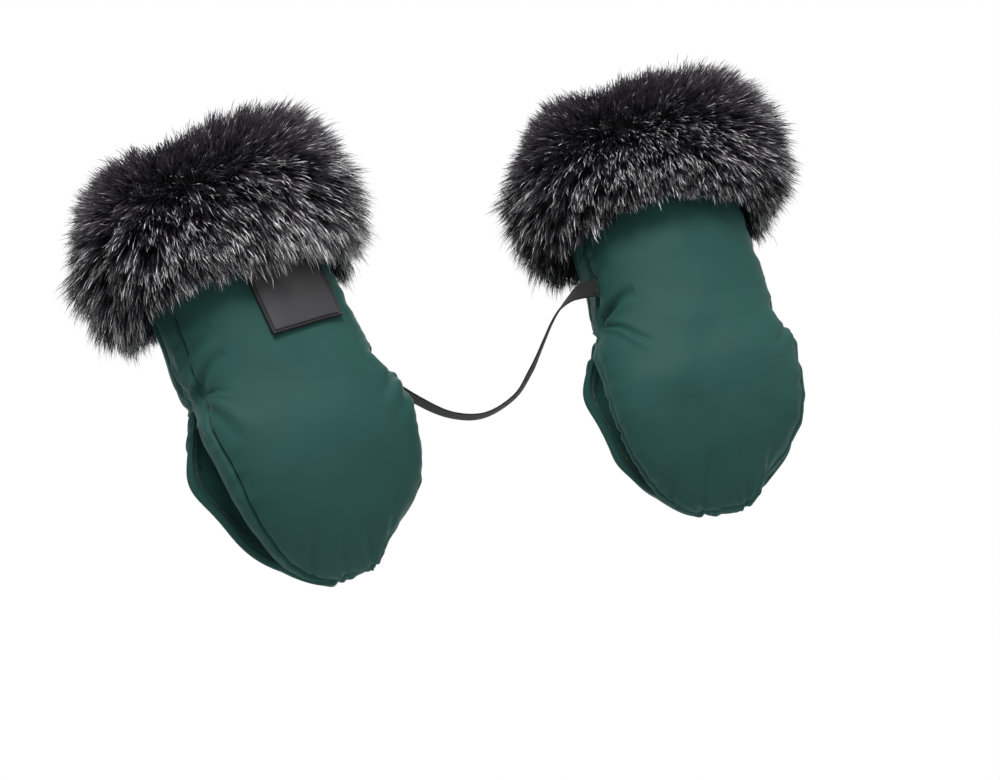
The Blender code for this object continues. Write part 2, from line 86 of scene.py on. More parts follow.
def roughenedBy(tree, shader, height, distance, strength=1.0):
    bump = addNode(tree, "Bump", {"Height": height, "Distance": distance, "Strength": strength})
    feed(tree, shader.inputs["Normal"], bump)


def scaleFor(millimetres):  # a pattern's scale, from the real width of one of its cells, blotches or grains
    return 1000 / millimetres


def patterned(name, texture, settings, low, high, depth, span=(0.0, 1.0), **sockets):
    # one pattern, in the object's own size, shades the material from low to high and roughens it
    material, tree, shader = newMaterial(name, **sockets)
    place = addNode(tree, "TexCoord", output="Object")
    pattern = addNode(tree, texture, {"Vector": place, **settings})
    share = addNode(tree, "MapRange", {0: pattern, 1: span[0], 2: span[1]})
    feed(tree, shader.inputs["Base Color"], colourBetween(tree, share, low, high))
    roughenedBy(tree, shader, pattern, depth)
    return material


# Camera, light and floor

def addObject(name, data):
    item = bpy.data.objects.new(name, data)
    bpy.context.scene.collection.objects.link(item)
    return item


def turnedBy(*turns):  # each turn is an angle in degrees and its axis, and the last is made first
    whole = Matrix.Identity(3)
    for angle, axis in turns:
        whole = whole @ Matrix.Rotation(math.radians(angle), 3, axis)
    return whole


# degrees, metres and millimetres, and the shifts are shares of the picture's width
view = {"yaw": 17.485, "pitch": -16.272, "roll": 13.915, "distance": 1.45, "lens": 83.52, "sensor": 36.0,
        "shiftAcross": -0.0113, "shiftUp": 0.0390, "nearest": 0.05, "farthest": 20.0}


def addCamera():
    right, ahead, up = turnedBy((-view["roll"], "Y"), (view["pitch"], "X"), (view["yaw"], "Z"))
    camera = addObject("camera", bpy.data.cameras.new("camera"))
    camera.matrix_world = Matrix.Translation(-ahead * view["distance"]) @ \
        Matrix((right, up, -ahead)).transposed().to_4x4()
    camera.data.sensor_width, camera.data.sensor_fit = view["sensor"], "HORIZONTAL"
    camera.data.lens = view["lens"]
    camera.data.shift_x, camera.data.shift_y = view["shiftAcross"], view["shiftUp"]
    camera.data.clip_start, camera.data.clip_end = view["nearest"], view["farthest"]
    bpy.context.scene.camera = camera


lamps = (  # name, place, width in metres, watts
    ("key lamp", (-0.30, -1.35, 1.30), 0.8, 26.0),
    ("right fill lamp", (1.50, -1.00, 0.10), 1.2, 2.6),
    ("top lamp", (0.0, 0.35, 1.60), 1.3, 9.0),
    ("back lamp", (0.6, 1.60, 0.60), 1.2, 6.0),
)
lampAim = Vector((0, 0, 0.05))


def addLamps():
    for name, place, width, power in lamps:
        lamp = bpy.data.lights.new(name, "AREA")
        lamp.shape, lamp.size, lamp.energy = "DISK", width, power
        item = addObject(name, lamp)
        item.location = place
        item.rotation_euler = (lampAim - Vector(place)).to_track_quat("-Z", "Y").to_euler()


backdrop = {"seen": "#ffffff", "light": "#eef1f4", "lightStrength": 0.26,
            "floorHeight": -1.02, "floorWidth": 9.0, "floor": "#e9e9e8", "floorGlow": 0.74}


def seenRays(tree, strength):  # strength for what the camera sees, also in gloss and glass, and 0 for light
    rays = addNode(tree, "LightPath").node.outputs
    seen = addNode(tree, "Math", {0: rays["Is Camera Ray"], 1: rays["Is Glossy Ray"]}, operation="ADD")
    seen = addNode(tree, "Math", {0: seen, 1: rays["Is Transmission Ray"]}, operation="ADD", use_clamp=True)
    return addNode(tree, "Math", {0: seen, 1: strength}, operation="MULTIPLY")


def addBackdrop():
    world = bpy.data.worlds.new("studio")
    bpy.context.scene.world = world
    world.use_nodes = True
    tree = world.node_tree
    tree.nodes.clear()
    light = addNode(tree, "Background", {"Color": backdrop["light"], "Strength": backdrop["lightStrength"]})
    white = addNode(tree, "Background", {"Color": backdrop["seen"], "Strength": 1.0})
    mixed = addNode(tree, "MixShader", {0: seenRays(tree, 1.0), 1: light, 2: white})
    addNode(tree, "OutputWorld", {"Surface": mixed})
    mesh = bmesh.new()
    bmesh.ops.create_grid(mesh, x_segments=1, y_segments=1, size=backdrop["floorWidth"] / 2)
    bmesh.ops.translate(mesh, verts=mesh.verts, vec=(0, 0, backdrop["floorHeight"]))
    data = bpy.data.meshes.new("floor")
    mesh.to_mesh(data)
    mesh.free()
    floor = addObject("floor", data)
    paint, tree, shader = newMaterial("pale floor paint", Base_Color=backdrop["floor"], Roughness=0.9,
                                      Emission_Color=backdrop["seen"])
    feed(tree, shader.inputs["Emission Strength"], seenRays(tree, backdrop["floorGlow"]))
    data.materials.append(paint)


bpy.context.scene.view_settings.view_transform = "Standard"
addCamera()
addLamps()
addBackdrop()
print("stage ready")


# Sheets of mesh: points has the shape rows, columns and x, y, z, and lay is each point's place on the cloth

def sheetInto(mesh, points, lay=None):
    rows, columns = points.shape[:2]
    made = bmesh.ops.create_grid(mesh, x_segments=columns - 1, y_segments=rows - 1, size=1)["verts"]
    laid = mesh.loops.layers.uv.get("cloth lay") or mesh.loops.layers.uv.new("cloth lay")
    for vert in made:
        i = round((vert.co.y + 1) / 2 * (rows - 1))
        j = round((vert.co.x + 1) / 2 * (columns - 1))
        vert.co = points[i, j]
        if lay is not None:
            for loop in vert.link_loops:
                loop[laid].uv = lay[i, j]
    return made


def boundaryOf(mesh):
    return [edge for edge in mesh.edges if len(edge.link_faces) == 1]


def addPiece(name, mesh, material, body, replaced=()):
    data = bpy.data.meshes.new(name)
    mesh.to_mesh(data)
    mesh.free()
    return finished(name, data, material, body, replaced)


def finished(name, data, material, body, replaced=()):
    data.materials.append(material)
    data.shade_smooth()
    piece = addObject(name, data)
    if replaced:
        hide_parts(*replaced)
    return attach(piece, body) if body else piece


def closedBetween(outer, inner, lay=None, innerLay=None):  # two sheets whose borders are joined all round
    mesh = bmesh.new()
    sheetInto(mesh, outer, lay)
    sheetInto(mesh, inner, innerLay)
    bmesh.ops.bridge_loops(mesh, edges=boundaryOf(mesh))
    bmesh.ops.recalc_face_normals(mesh, faces=mesh.faces)
    return mesh


def smoothLine(points, steps):  # a smooth curve through every point
    points = np.array(points, float)
    ends = np.vstack([2 * points[0] - points[1], points, 2 * points[-1] - points[-2]])
    found = []
    for a, b, c, d in zip(ends, ends[1:], ends[2:], ends[3:]):
        for t in np.arange(steps) / steps:
            found.append(0.5 * (2 * b + (c - a) * t + (2 * a - 5 * b + 4 * c - d) * t ** 2
                                + (3 * b - a - 3 * c + d) * t ** 3))
    return np.array([*found, points[-1]])


def alongOf(line):  # how far along the line each of its points is
    return np.concatenate([[0], np.linalg.norm(np.diff(line, axis=0), axis=1).cumsum()])


def betweenStops(values, stops):  # each stop is a value and what it gives
    return np.interp(values, *np.transpose(stops))


def unit(vectors):
    return vectors / np.maximum(np.linalg.norm(vectors, axis=-1, keepdims=True), 1e-12)


# The strap between the muffs: flat black webbing, sewn into both inner seams

strap = {"width": 0.012, "thickness": 0.0012, "edgeThickness": 0.35, "edgePower": 8, "steps": 8, "cells": 12,
         "ribs": 0.00013, "ribCount": 5, "chevron": 0.0024, "weaveRib": 0.0012083,
         "weaveDepth": 0.00018}  # metres, but for the shares and counts
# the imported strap's route, with its ends drawn in with the cloth: a place, and the way its width points there
strapRoute = (
    ((0.0806, -0.0058, 0.0800), (0.10, -0.10, 1.00)),
    ((0.0728, -0.0112, 0.0812), (0.10, 0.00, 1.00)),
    ((0.0650, -0.0096, 0.0808), (0.22, 0.20, 0.95)),
    ((0.0577, -0.0056, 0.0784), (0.33, 0.65, 0.68)),
    ((0.0505, -0.0002, 0.0738), (0.31, 0.92, 0.32)),
    ((0.0455, 0.0062, 0.0680), (0.31, 0.93, 0.22)),
    ((0.0405, 0.0130, 0.0602), (0.34, 0.92, 0.20)),
    ((0.0355, 0.0190, 0.0522), (0.38, 0.91, 0.18)),
    ((0.0290, 0.0242, 0.0430), (0.45, 0.88, 0.15)),
    ((0.0160, 0.0282, 0.0296), (0.25, 0.97, 0.05)),
    ((-0.0060, 0.0300, 0.0210), (0.00, 1.00, 0.00)),
    ((-0.0280, 0.0290, 0.0245), (-0.10, 1.00, 0.05)),
    ((-0.0480, 0.0258, 0.0365), (-0.25, 0.97, 0.10)),
    ((-0.0645, 0.0205, 0.0505), (-0.30, 0.90, 0.30)),
    ((-0.0760, 0.0120, 0.0650), (-0.30, 0.75, 0.60)),
    ((-0.0830, 0.0000, 0.0750), (-0.29, 0.35, 0.90)),
    ((-0.0880, -0.0110, 0.0808), (-0.29, 0.10, 0.95)),
    ((-0.0925, -0.0180, 0.0835), (-0.29, 0.00, 1.00)),
)


# black woven tape: a herringbone of fine ribs, drawn coarse enough to show, that catches a little light
def makeWebbing():
    material, tree, shader = newMaterial("black webbing", Roughness=0.72, Sheen_Weight=0.25,
                                         Sheen_Roughness=0.5, Specular_IOR_Level=0.3)
    lay = addNode(tree, "UVMap", uv_map="cloth lay")
    along, across = addNode(tree, "SeparateXYZ", {0: lay}).node.outputs[:2]
    folded = addNode(tree, "Math", {0: across, 1: strap["chevron"]}, operation="PINGPONG")
    slanted = addNode(tree, "Math", {0: along, 1: folded}, operation="ADD")
    wave = addNode(tree, "Math", {0: slanted, 1: 2 * math.pi / strap["weaveRib"]}, operation="MULTIPLY")
    rib = addNode(tree, "Math", {0: wave}, operation="SINE")
    share = addNode(tree, "MapRange", {0: rib, 1: -1.0, 2: 1.0})
    feed(tree, shader.inputs["Base Color"], colourBetween(tree, share, "#0b0b0c", "#1b1b1d"))
    roughenedBy(tree, shader, share, strap["weaveDepth"])
    return material


def addStrap():
    line = smoothLine([place for place, _ in strapRoute], strap["steps"])
    ways = smoothLine([way for _, way in strapRoute], strap["steps"])
    ahead = unit(np.gradient(line, axis=0))
    across = unit(ways - ahead * (ways * ahead).sum(1, keepdims=True))
    facing = np.cross(ahead, across)
    shares = np.linspace(-1, 1, strap["cells"] + 1)
    along = alongOf(line)
    selvedge, edge = 1 - np.abs(shares) ** strap["edgePower"], strap["edgeThickness"]
    lift = strap["thickness"] / 2 * (edge + (1 - edge) * selvedge) + \
        strap["ribs"] * np.cos(shares * math.pi * strap["ribCount"]) * selvedge
    middle = line[:, None] + across[:, None] * (shares * strap["width"] / 2)[None, :, None]
    lay = np.stack(np.broadcast_arrays(along[:, None], shares[None] * strap["width"] / 2), 2)
    rise = facing[:, None] * lift[None, :, None]
    mesh = closedBetween(middle + rise, middle - rise, lay, lay)
    piece = addPiece("link_strap_webbing", mesh, makeWebbing(), None, ["link_strap"])
    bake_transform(piece)
    print("strap length", round(float(along[-1]), 4))


addStrap()


# The muffs' shape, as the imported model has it: a tapering arch in front and one behind

shape = {"tipDrop": 0.0755, "pinchRise": 0.054, "furRise": 0.104, "cuffRise": 0.190,
         "widths": (0.019, 0.0645, 0.061, 0.057, 0.054),  # half widths at tip, bar, pinch, waist, cuff
         "frontDepths": (0.008, 0.054, 0.0455, 0.04425, 0.043),
         "backDepths": (0.008, 0.0425, 0.041, 0.03975, 0.0385),
         "walls": (0.012, 0.011, 0.010, 0.009), "edgeWall": 0.006,
         "seatTopDrop": 0.0535, "seatDepth": 0.0026, "slotHalfDepth": 0.020, "slotDrop": 0.056, "gap": 0.0003,
         "widthPower": 1.7, "depthPower": 1.35, "sidePower": 0.78, "crownPower": 0.75, "slotPower": 0.8,
         "roundReach": 0.028, "roundFade": 0.060}
roundWeights = ((-1, 0.08), (-0.66, 0.14), (-0.33, 0.18), (0, 0.20), (0.33, 0.18), (0.66, 0.14), (1, 0.08))
placements = {"left": (-1, 12.0, 3.0, -3.2), "right": (1, 1.5, 10.0, 1.6)}  # way, splay, toe-in, swing
spacing = 0.256
# the angles at which the front panel's seams lie, by height in metres, on each muff's left and right
seamTurns = {"left": (((-0.075, 77), (-0.040, 72), (0.0, 67), (0.054, 70), (0.090, 64)),
                      ((-0.075, 78), (0.0, 75))),
             "right": (((-0.075, 79), (-0.020, 82), (0.040, 81), (0.056, 75), (0.090, 72), (0.140, 66)),
                       ((-0.075, 78), (0.0, 75)))}
# a muff is drawn in at its pinch, lower down on its right, and swells under it: height, reach and share of
# its half width, on its left and on its right, for the front and then for the back
drapeTurn = 0.015  # metres from the middle over which the left's share gives way to the right's
drapes = {"left": (((0.056, 0.011, -0.050, 0.0), (0.030, 0.013, 0.020, 0.0), (0.042, 0.011, 0.0, -0.040),
                    (0.012, 0.022, 0.0, 0.030), (-0.072, 0.019, 0.0, -0.450)),
                   ((0.056, 0.011, -0.050, 0.0), (0.018, 0.022, 0.130, 0.0), (-0.072, 0.019, 0.0, -0.450))),
          "right": (((0.056, 0.011, -0.060, 0.0), (0.078, 0.018, -0.065, 0.0), (0.030, 0.013, 0.025, 0.0),
                     (0.040, 0.011, 0.0, -0.045), (0.016, 0.013, 0.0, 0.020), (-0.068, 0.021, 0.0, -0.300)),
                    ((0.056, 0.011, -0.060, 0.0), (0.078, 0.018, -0.065, 0.0), (0.024, 0.018, 0.115, 0.0),
                     (-0.068, 0.021, -0.050, -0.300)))}


def placeOf(side):
    way, splay, toeIn, swing = placements[side]
    turn = turnedBy((-swing, "X"), (way * splay, "Y"), (-way * toeIn, "Z"))
    return np.array(turn), np.array((way * spacing / 2, 0, 0))


def placed(side, points):
    turn, middle = placeOf(side)
    return points @ turn.T + middle


def eased(share):
    return 0.5 - 0.5 * np.cos(np.pi * np.clip(share, 0, 1))


def sizedAt(heights, drop, sizes, power):
    tip, bar, pinch, waist, cuff = sizes
    lobe = (1 - (1 - np.clip(1 + heights / drop, 0, 1)) ** power) ** (1 / power)
    pinchRise, furRise = shape["pinchRise"], shape["furRise"]
    size = np.where(heights <= 0, tip + (bar - tip) * lobe,
                    bar + (pinch - bar) * eased(heights / pinchRise))
    size = size + (waist - pinch) * eased((heights - pinchRise) / (furRise - pinchRise))
    return size + (cuff - waist) * eased((heights - furRise) / (shape["cuffRise"] - furRise))


def slotDepth(heights):
    span = np.where(heights > 0, shape["pinchRise"], shape["slotDrop"])
    share = np.minimum(1.0, np.abs(heights) / span)
    return shape["slotHalfDepth"] * (1 - share ** 2) ** shape["slotPower"] + shape["gap"] / 2


def anglesOf(side, columns, heights):  # columns run from -2 to 2, with the seams at -1 and 1
    seams = [betweenStops(heights, stops)[:, None] for stops in seamTurns[side]]
    columns = columns[None]
    seam = np.where(columns < 0, seams[0], seams[1])
    beyond = np.maximum(np.abs(columns) - 1, 0)
    return np.sign(columns) * (seam * np.minimum(np.abs(columns), 1) + (90 - seam) * beyond)


def smoothSize(heights, drop, sizes, power):  # cloth rounds off the change from lobe to sleeve
    reach = shape["roundReach"] * np.clip((heights + drop) / shape["roundFade"], 0, 1)
    return sum(weight * sizedAt(heights + step * reach, drop, sizes, power) for step, weight in roundWeights)


def draped(side, isFront, points):
    scale = np.ones(points.shape[:-1])
    for height, reach, left, right in drapes[side][0 if isFront else 1]:
        bump = np.exp(-((points[..., 2] - height) / reach) ** 2)
        scale += bump * (left + (right - left) * (0.5 + 0.5 * np.tanh(points[..., 0] / drapeTurn)))
    return np.stack([points[..., 0] * scale, points[..., 1], points[..., 2]], -1)


def archSheet(side, angles, heights, isFront, inset=None):  # inset is how far outside the lining's bare face
    depths = shape["frontDepths"] if isFront else shape["backDepths"]
    widths = shape["widths"]
    drops = (shape["tipDrop"], shape["tipDrop"])
    if inset is not None:
        widths = [size - shape["edgeWall"] + inset for size in widths]
        depths = [shape["seatDepth"], *[size - wall + inset for size, wall
                                        in zip(depths[1:], shape["walls"])]]
        drops = (shape["tipDrop"] - shape["edgeWall"], shape["seatTopDrop"])
    width = smoothSize(heights, drops[0], widths, shape["widthPower"])[:, None]
    depth = smoothSize(heights, drops[1], depths, shape["depthPower"])[:, None]
    edge = slotDepth(heights)[:, None]
    turn = np.radians(angles)
    sides = np.sign(turn) * np.abs(np.sin(turn)) ** shape["sidePower"]
    crown = np.maximum(0, np.cos(turn)) ** shape["crownPower"]
    way = -1 if isFront else 1
    return draped(side, isFront, np.stack(np.broadcast_arrays(
        width * sides, way * (edge + (depth - edge) * crown), heights[:, None]), 2))


def normalsOf(points, isFront):
    across, along = np.gradient(points, axis=1), np.gradient(points, axis=0)
    return unit(np.cross(along, across)) * (-1 if isFront else 1)


def layOf(points):  # each point's place on the cloth: across from the crown, and its height along the crown
    steps = np.linalg.norm(np.diff(points, axis=1), axis=2)
    across = np.concatenate([np.zeros((len(points), 1)), steps.cumsum(1)], 1)
    middle = points.shape[1] // 2
    across = across - across[:, middle:middle + 1]
    return np.stack([across, np.broadcast_to(alongOf(points[:, middle])[:, None], across.shape)], 2)


# Folds, gathers and seams, all in millimetres: q runs across the cloth from its crown, z up from the bar

def nearLine(q, z, line):  # distance, side and share of the way along a drawn line
    line = np.array(line, float)
    spans = np.diff(line, axis=0)
    lengths = np.linalg.norm(spans, axis=1)
    starts = alongOf(line)
    best = np.full(q.shape, 1e9)
    side, share = np.zeros(q.shape), np.zeros(q.shape)
    for start, span, length, before in zip(line, spans, lengths, starts):
        dq, dz = q - start[0], z - start[1]
        t = np.clip((dq * span[0] + dz * span[1]) / length ** 2, 0, 1)
        distance = np.hypot(dq - t * span[0], dz - t * span[1])
        closer = distance < best
        best = np.where(closer, distance, best)
        side = np.where(closer, np.sign(span[0] * dz - span[1] * dq), side)
        share = np.where(closer, (before + t * length) / starts[-1], share)
    return best, side, share


# a fold's width at its start, how it widens and fades along it, and its lip's distance and width, in widths
foldForm = {"start": 0.75, "widening": 0.6, "fade": 0.6, "lipAway": 1.9, "lipWidth": 1.15, "steps": 4}


def foldShift(q, z, folds):
    shift = np.zeros(q.shape)
    for line, depth, width, lip in folds:
        distance, side, share = nearLine(q, z, smoothLine(line, foldForm["steps"]))
        wide = width * (foldForm["start"] + foldForm["widening"] * share)
        fade = (1 - share) ** foldForm["fade"]
        valley = -depth * np.exp(-(distance / wide) ** 2)
        fromLip = distance * side * np.sign(lip) - foldForm["lipAway"] * wide
        ridge = abs(lip) * np.exp(-(fromLip / (foldForm["lipWidth"] * wide)) ** 2)
        shift += fade * (valley + ridge)
    return shift


def waves(seed, q, z, count, shortest, longest):  # soft uneven swell, about 1 high: lengths in millimetres
    chance = np.random.default_rng(seed)
    swell = np.zeros(q.shape)
    for _ in range(count):
        length = chance.uniform(shortest, longest)
        turn, phase = chance.uniform(0, math.pi), chance.uniform(0, 2 * math.pi)
        swell += np.sin((q * math.cos(turn) + z * math.sin(turn)) * 2 * math.pi / length + phase)
    return swell / math.sqrt(count)


# each fold: a line, its depth, half width, and the height of its lip, which is on the line's left if positive
leftFolds = (
    (((-69, 56), (-60, 55), (-52, 53), (-42, 48)), 3.0, 1.1, -2.2),
    (((-69, 58), (-58, 63), (-46, 69), (-36, 72)), 4.4, 3.0, 1.0),
    (((-68, 57), (-60, 72), (-54, 84)), 1.6, 1.6, 1.2),
    (((-64, 49), (-58, 40), (-53, 28), (-50, 16)), 1.4, 3.4, 1.6),
    (((-66, 80), (-57, 84), (-48, 86), (-38, 92)), 3.0, 3.8, 1.0),
    (((-86, 80), (-83, 70), (-76, 60)), 2.4, 2.6, 1.4),
    (((-90, 64), (-82, 58), (-72, 54)), 2.0, 2.0, 1.0),
    (((-78, 38), (-73, 30), (-70, 18)), 1.2, 2.4, 0.8),
    (((82, 40), (67, 30), (52, 20), (40, 12)), 2.6, 3.0, 1.6),
    (((82, 44), (64, 47), (48, 46)), 2.4, 3.6, 0.8),
    (((82, 22), (62, 9), (46, -2), (40, -12)), 1.6, 3.6, 1.2),
    (((80, 84), (62, 80), (50, 81)), 1.6, 2.8, 0.6),
    (((-12, -77), (-13, -66), (-10, -54)), 1.6, 2.6, 0.6),
    (((6, -77), (4, -66), (5, -50)), 1.5, 2.4, 0.6),
    (((-34, -68), (-32, -58), (-27, -46)), 1.4, 2.4, 0.6),
    (((24, -74), (23, -62), (27, -46)), 1.5, 2.6, 0.6),
)
rightFolds = (
    (((-70, 55), (-64, 57), (-54, 61), (-44, 65), (-33, 67)), 8.5, 2.9, -2.2),
    (((-72, 53), (-58, 50), (-48, 45), (-40, 37), (-30, 27)), 5.2, 1.6, -3.4),
    (((-72, 55), (-66, 68), (-62, 84)), 2.4, 1.8, 1.4),
    (((-78, 50), (-72, 38), (-69, 26)), 1.6, 1.8, 1.0),
    (((82, 38), (68, 30), (54, 18), (42, 9)), 2.8, 2.6, 1.6),
    (((82, 42), (64, 45), (48, 44)), 2.2, 3.4, 0.7),
    (((-88, -14), (-74, -19), (-62, -22)), 2.6, 1.3, -1.4),
    (((-84, 4), (-70, 0), (-58, -2)), 1.1, 2.6, 0.7),
    (((-19, -77), (-14, -62), (-7, -46)), 1.9, 2.8, 0.8),
    (((12, -77), (10, -64), (12, -50)), 1.5, 2.4, 0.6),
    (((33, -68), (31, -56), (33, -44)), 1.5, 2.4, 0.6),
    (((-40, -70), (-37, -60), (-32, -48)), 1.4, 2.2, 0.6),
    (((-65, 86), (-56, 88), (-44, 93)), 2.0, 3.4, 0.7),
)
backFolds = (
    (((-84, 52), (-68, 58), (-50, 62), (-34, 64)), 2.6, 2.6, -1.4),
    (((-84, 54), (-70, 70), (-62, 84)), 1.8, 2.4, 0.8),
    (((84, 51), (66, 59), (46, 66)), 2.4, 2.6, 1.0),
    (((84, 53), (70, 66), (52, 82)), 1.6, 2.6, -0.8),
    (((30, 50), (12, 56), (-10, 58)), 1.2, 3.0, 0.6),
)
flapFolds = (
    (((-84, 50), (-64, 40), (-46, 34), (-28, 32)), 2.8, 2.6, -1.6),
    (((-84, 46), (-66, 30), (-52, 12)), 1.6, 3.2, 1.0),
    (((84, 49), (66, 38), (50, 26), (36, 10)), 2.8, 2.8, 1.6),
    (((84, 50), (62, 46), (40, 42)), 1.8, 2.6, 0.8),
    (((-14, -78), (-16, -64), (-10, -50)), 1.6, 2.6, 0.7),
    (((14, -78), (12, -62), (18, -46)), 1.8, 2.6, 0.7),
    (((34, -70), (32, -58), (36, -44)), 1.3, 2.4, 0.6),
)
folds = {"left": leftFolds, "right": rightFolds, "back": backFolds, "flap": flapFolds}
# what seams, pinches and edges do to the cloth, in millimetres, but pinchHeights in metres, taut, puckerShear
# and puckerLeast as shares, and tipFans as counts; Waves are a count and their shortest and longest lengths
cloth = {"swell": 0.55, "swellWaves": (26, 24, 64), "taut": 0.75, "tautReach": 2.6,
         "seamDip": 3.0, "seamWidth": 1.3, "seamPull": 1.3, "seamReach": 8.0,
         "gather": 0.75, "gatherReach": 8.0, "gatherGap": 1.5, "puckerWaves": (9, 7, 16), "puckerShear": 0.3,
         "puckerFade": 16, "puckerLeast": 0.25, "pinchDip": 4.6, "pinchWidth": 6.0,
         "pinchHeights": (0.054, 0.041), "tipGather": 0.5, "tipReach": 14.0, "tipFans": (9, 14, 19),
         "deepest": 8.5, "edgeRadius": 3.0}


def clothShift(seed, q, z, turn, seams, pinches, sideFolds, toEdge):
    aboveTip = z + 1000 * shape["tipDrop"]
    shift = cloth["swell"] * waves(seed, q, z, *cloth["swellWaves"]) + foldShift(q, z, sideFolds)
    for seam in seams:  # the seam's own line is taut, and keeps little of the folds beside it
        shift *= 1 - cloth["taut"] * np.exp(-((q - seam) / cloth["tautReach"]) ** 2)
    for k, seam in enumerate(seams):  # a seam draws the cloth in, and gathers it in small uneven puckers
        away = np.abs(q - seam)
        shift -= cloth["seamDip"] * np.exp(-(away / cloth["seamWidth"]) ** 2)
        shift -= cloth["seamPull"] * np.exp(-away / cloth["seamReach"])
        puckers = waves(seed + 7 + k, q * cloth["puckerShear"], z, *cloth["puckerWaves"]) * \
            np.clip(aboveTip / cloth["puckerFade"], cloth["puckerLeast"], 1)
        shift += cloth["gather"] * puckers * np.exp(-away / cloth["gatherReach"]) * \
            (1 - np.exp(-away / cloth["gatherGap"]))
    for place in pinches:
        away = np.hypot(q - place[0], z - place[1])
        shift -= cloth["pinchDip"] * np.exp(-(away / cloth["pinchWidth"]) ** 2)
    phases = np.random.default_rng(seed + 3).uniform(0, 2 * math.pi, 3)
    fan = sum(np.sin(turn * n + phase) for n, phase in zip(cloth["tipFans"], phases))
    shift += cloth["tipGather"] * fan / 2 * np.exp(-aboveTip / cloth["tipReach"])
    shift = np.where(shift < 0, -cloth["deepest"] * np.tanh(-shift / cloth["deepest"]), shift)
    radius = cloth["edgeRadius"]  # the open edges are rolled
    return shift - radius + np.sqrt(radius ** 2 - (radius - np.clip(toEdge, 0, radius)) ** 2)


# the sheets' mesh, with the share of the rows that lies below the bar, and how they crowd towards the tip
grid = {"frontRows": 250, "backRows": 64, "flapRows": 96, "liningRows": 80, "gussetCells": 20,
        "panelCells": 132, "backCells": 86, "liningCells": 60, "lowerShare": 0.42, "tipCrowding": 1.9}


def rowsBetween(low, high, count):  # heights, packed closer near the tip, where the lobe turns in
    if low >= 0:
        return np.linspace(low, high, count)
    lower = low * (1 - np.linspace(0, 1, round(count * grid["lowerShare"])) ** grid["tipCrowding"])
    return np.concatenate([lower, np.linspace(0, high, count - len(lower) + 1)[1:]])


tipRows = ((0.90, 0.16, 0.0050), (0.93, 0.32, 0.0026), (0.97, 0.62, 0.0008))  # width, depth and rise
tipLining, tipCloth = 0.0003, 0.003  # from one of these rows to the next, inside and along the cloth


def closedTip(outer, inner, lay):  # three more rows turn the tip's end in towards the seam plane
    turned = [outer[0] * (width, depth, 1) + (0, 0, rise) for width, depth, rise in tipRows]
    repeated = [inner[0] + (0, 0, tipLining * k) for k in (3, 2, 1)]
    more = [lay[0] - (0, tipCloth * k) for k in (3, 2, 1)]
    return np.concatenate([turned, outer]), np.concatenate([repeated, inner]), np.concatenate([more, lay])


def dressedSheet(side, isFront, angles, heights, seed, sideFolds, seamColumns=(), edgeRow=None):
    bare = archSheet(side, angles, heights, isFront)
    lay = layOf(bare)
    q, z = 1000 * lay[:, :, 0], 1000 * heights[:, None]
    toEdge = np.minimum(q - q[:, :1], q[:, -1:] - q)
    if edgeRow is not None:
        toEdge = np.minimum(toEdge, np.abs(z - z[edgeRow]))
    seams = [q[:, column:column + 1] for column in seamColumns]
    rows = [int(np.argmin(np.abs(heights - height))) for height in cloth["pinchHeights"]]
    pinches = [(seam[row, 0], z[row, 0]) for seam, row in zip(seams, rows)]
    shift = clothShift(seed, q, z, np.radians(angles), seams, pinches, sideFolds, toEdge)
    return bare + normalsOf(bare, isFront) * shift[:, :, None] / 1000, lay


# dense satin-matte polyester: a fine plain weave, slight crinkle and a soft sheen. Its threads are drawn
# half a millimetre apart, coarse enough to show, and a wave texture at scale 1 repeats every pi / 10.
def makeShellCloth():
    material, tree, shader = newMaterial("green shell cloth", Roughness=0.60, Sheen_Weight=0.05,
                                         Sheen_Roughness=0.45, Sheen_Tint="#7fbfb2",
                                         Specular_IOR_Level=0.16)
    lay = addNode(tree, "UVMap", uv_map="cloth lay")
    place = addNode(tree, "TexCoord", output="Object")
    threads = {"Vector": lay, "Scale": scaleFor(0.5067) * math.pi / 10, "Distortion": 0.6, "Detail": 1.0,
               "Detail Scale": 1.5}
    weft, warp = (addNode(tree, "TexWave", threads, "Fac", bands_direction=way) for way in "XY")
    weave = addNode(tree, "Math", {0: weft, 1: warp}, operation="MAXIMUM")
    crinkle = addNode(tree, "TexNoise", {"Vector": place, "Scale": scaleFor(10.526), "Detail": 3.0,
                                         "Roughness": 0.55})
    broad = addNode(tree, "TexNoise", {"Vector": place, "Scale": scaleFor(62.5), "Detail": 2.0})
    share = addNode(tree, "MapRange", {0: broad, 1: 0.3, 2: 0.7})
    colour = colourBetween(tree, share, "#2c5852", "#326059")
    worn = addNode(tree, "MapRange", {0: weave, 3: 0.0, 4: 0.34})
    feed(tree, shader.inputs["Base Color"], colourBetween(tree, worn, colour, "#1f403c"))
    height = addNode(tree, "Math", {0: weave, 1: 0.10, 2: crinkle}, operation="MULTIPLY_ADD")
    roughenedBy(tree, shader, height, 0.0004, 0.5)
    return material


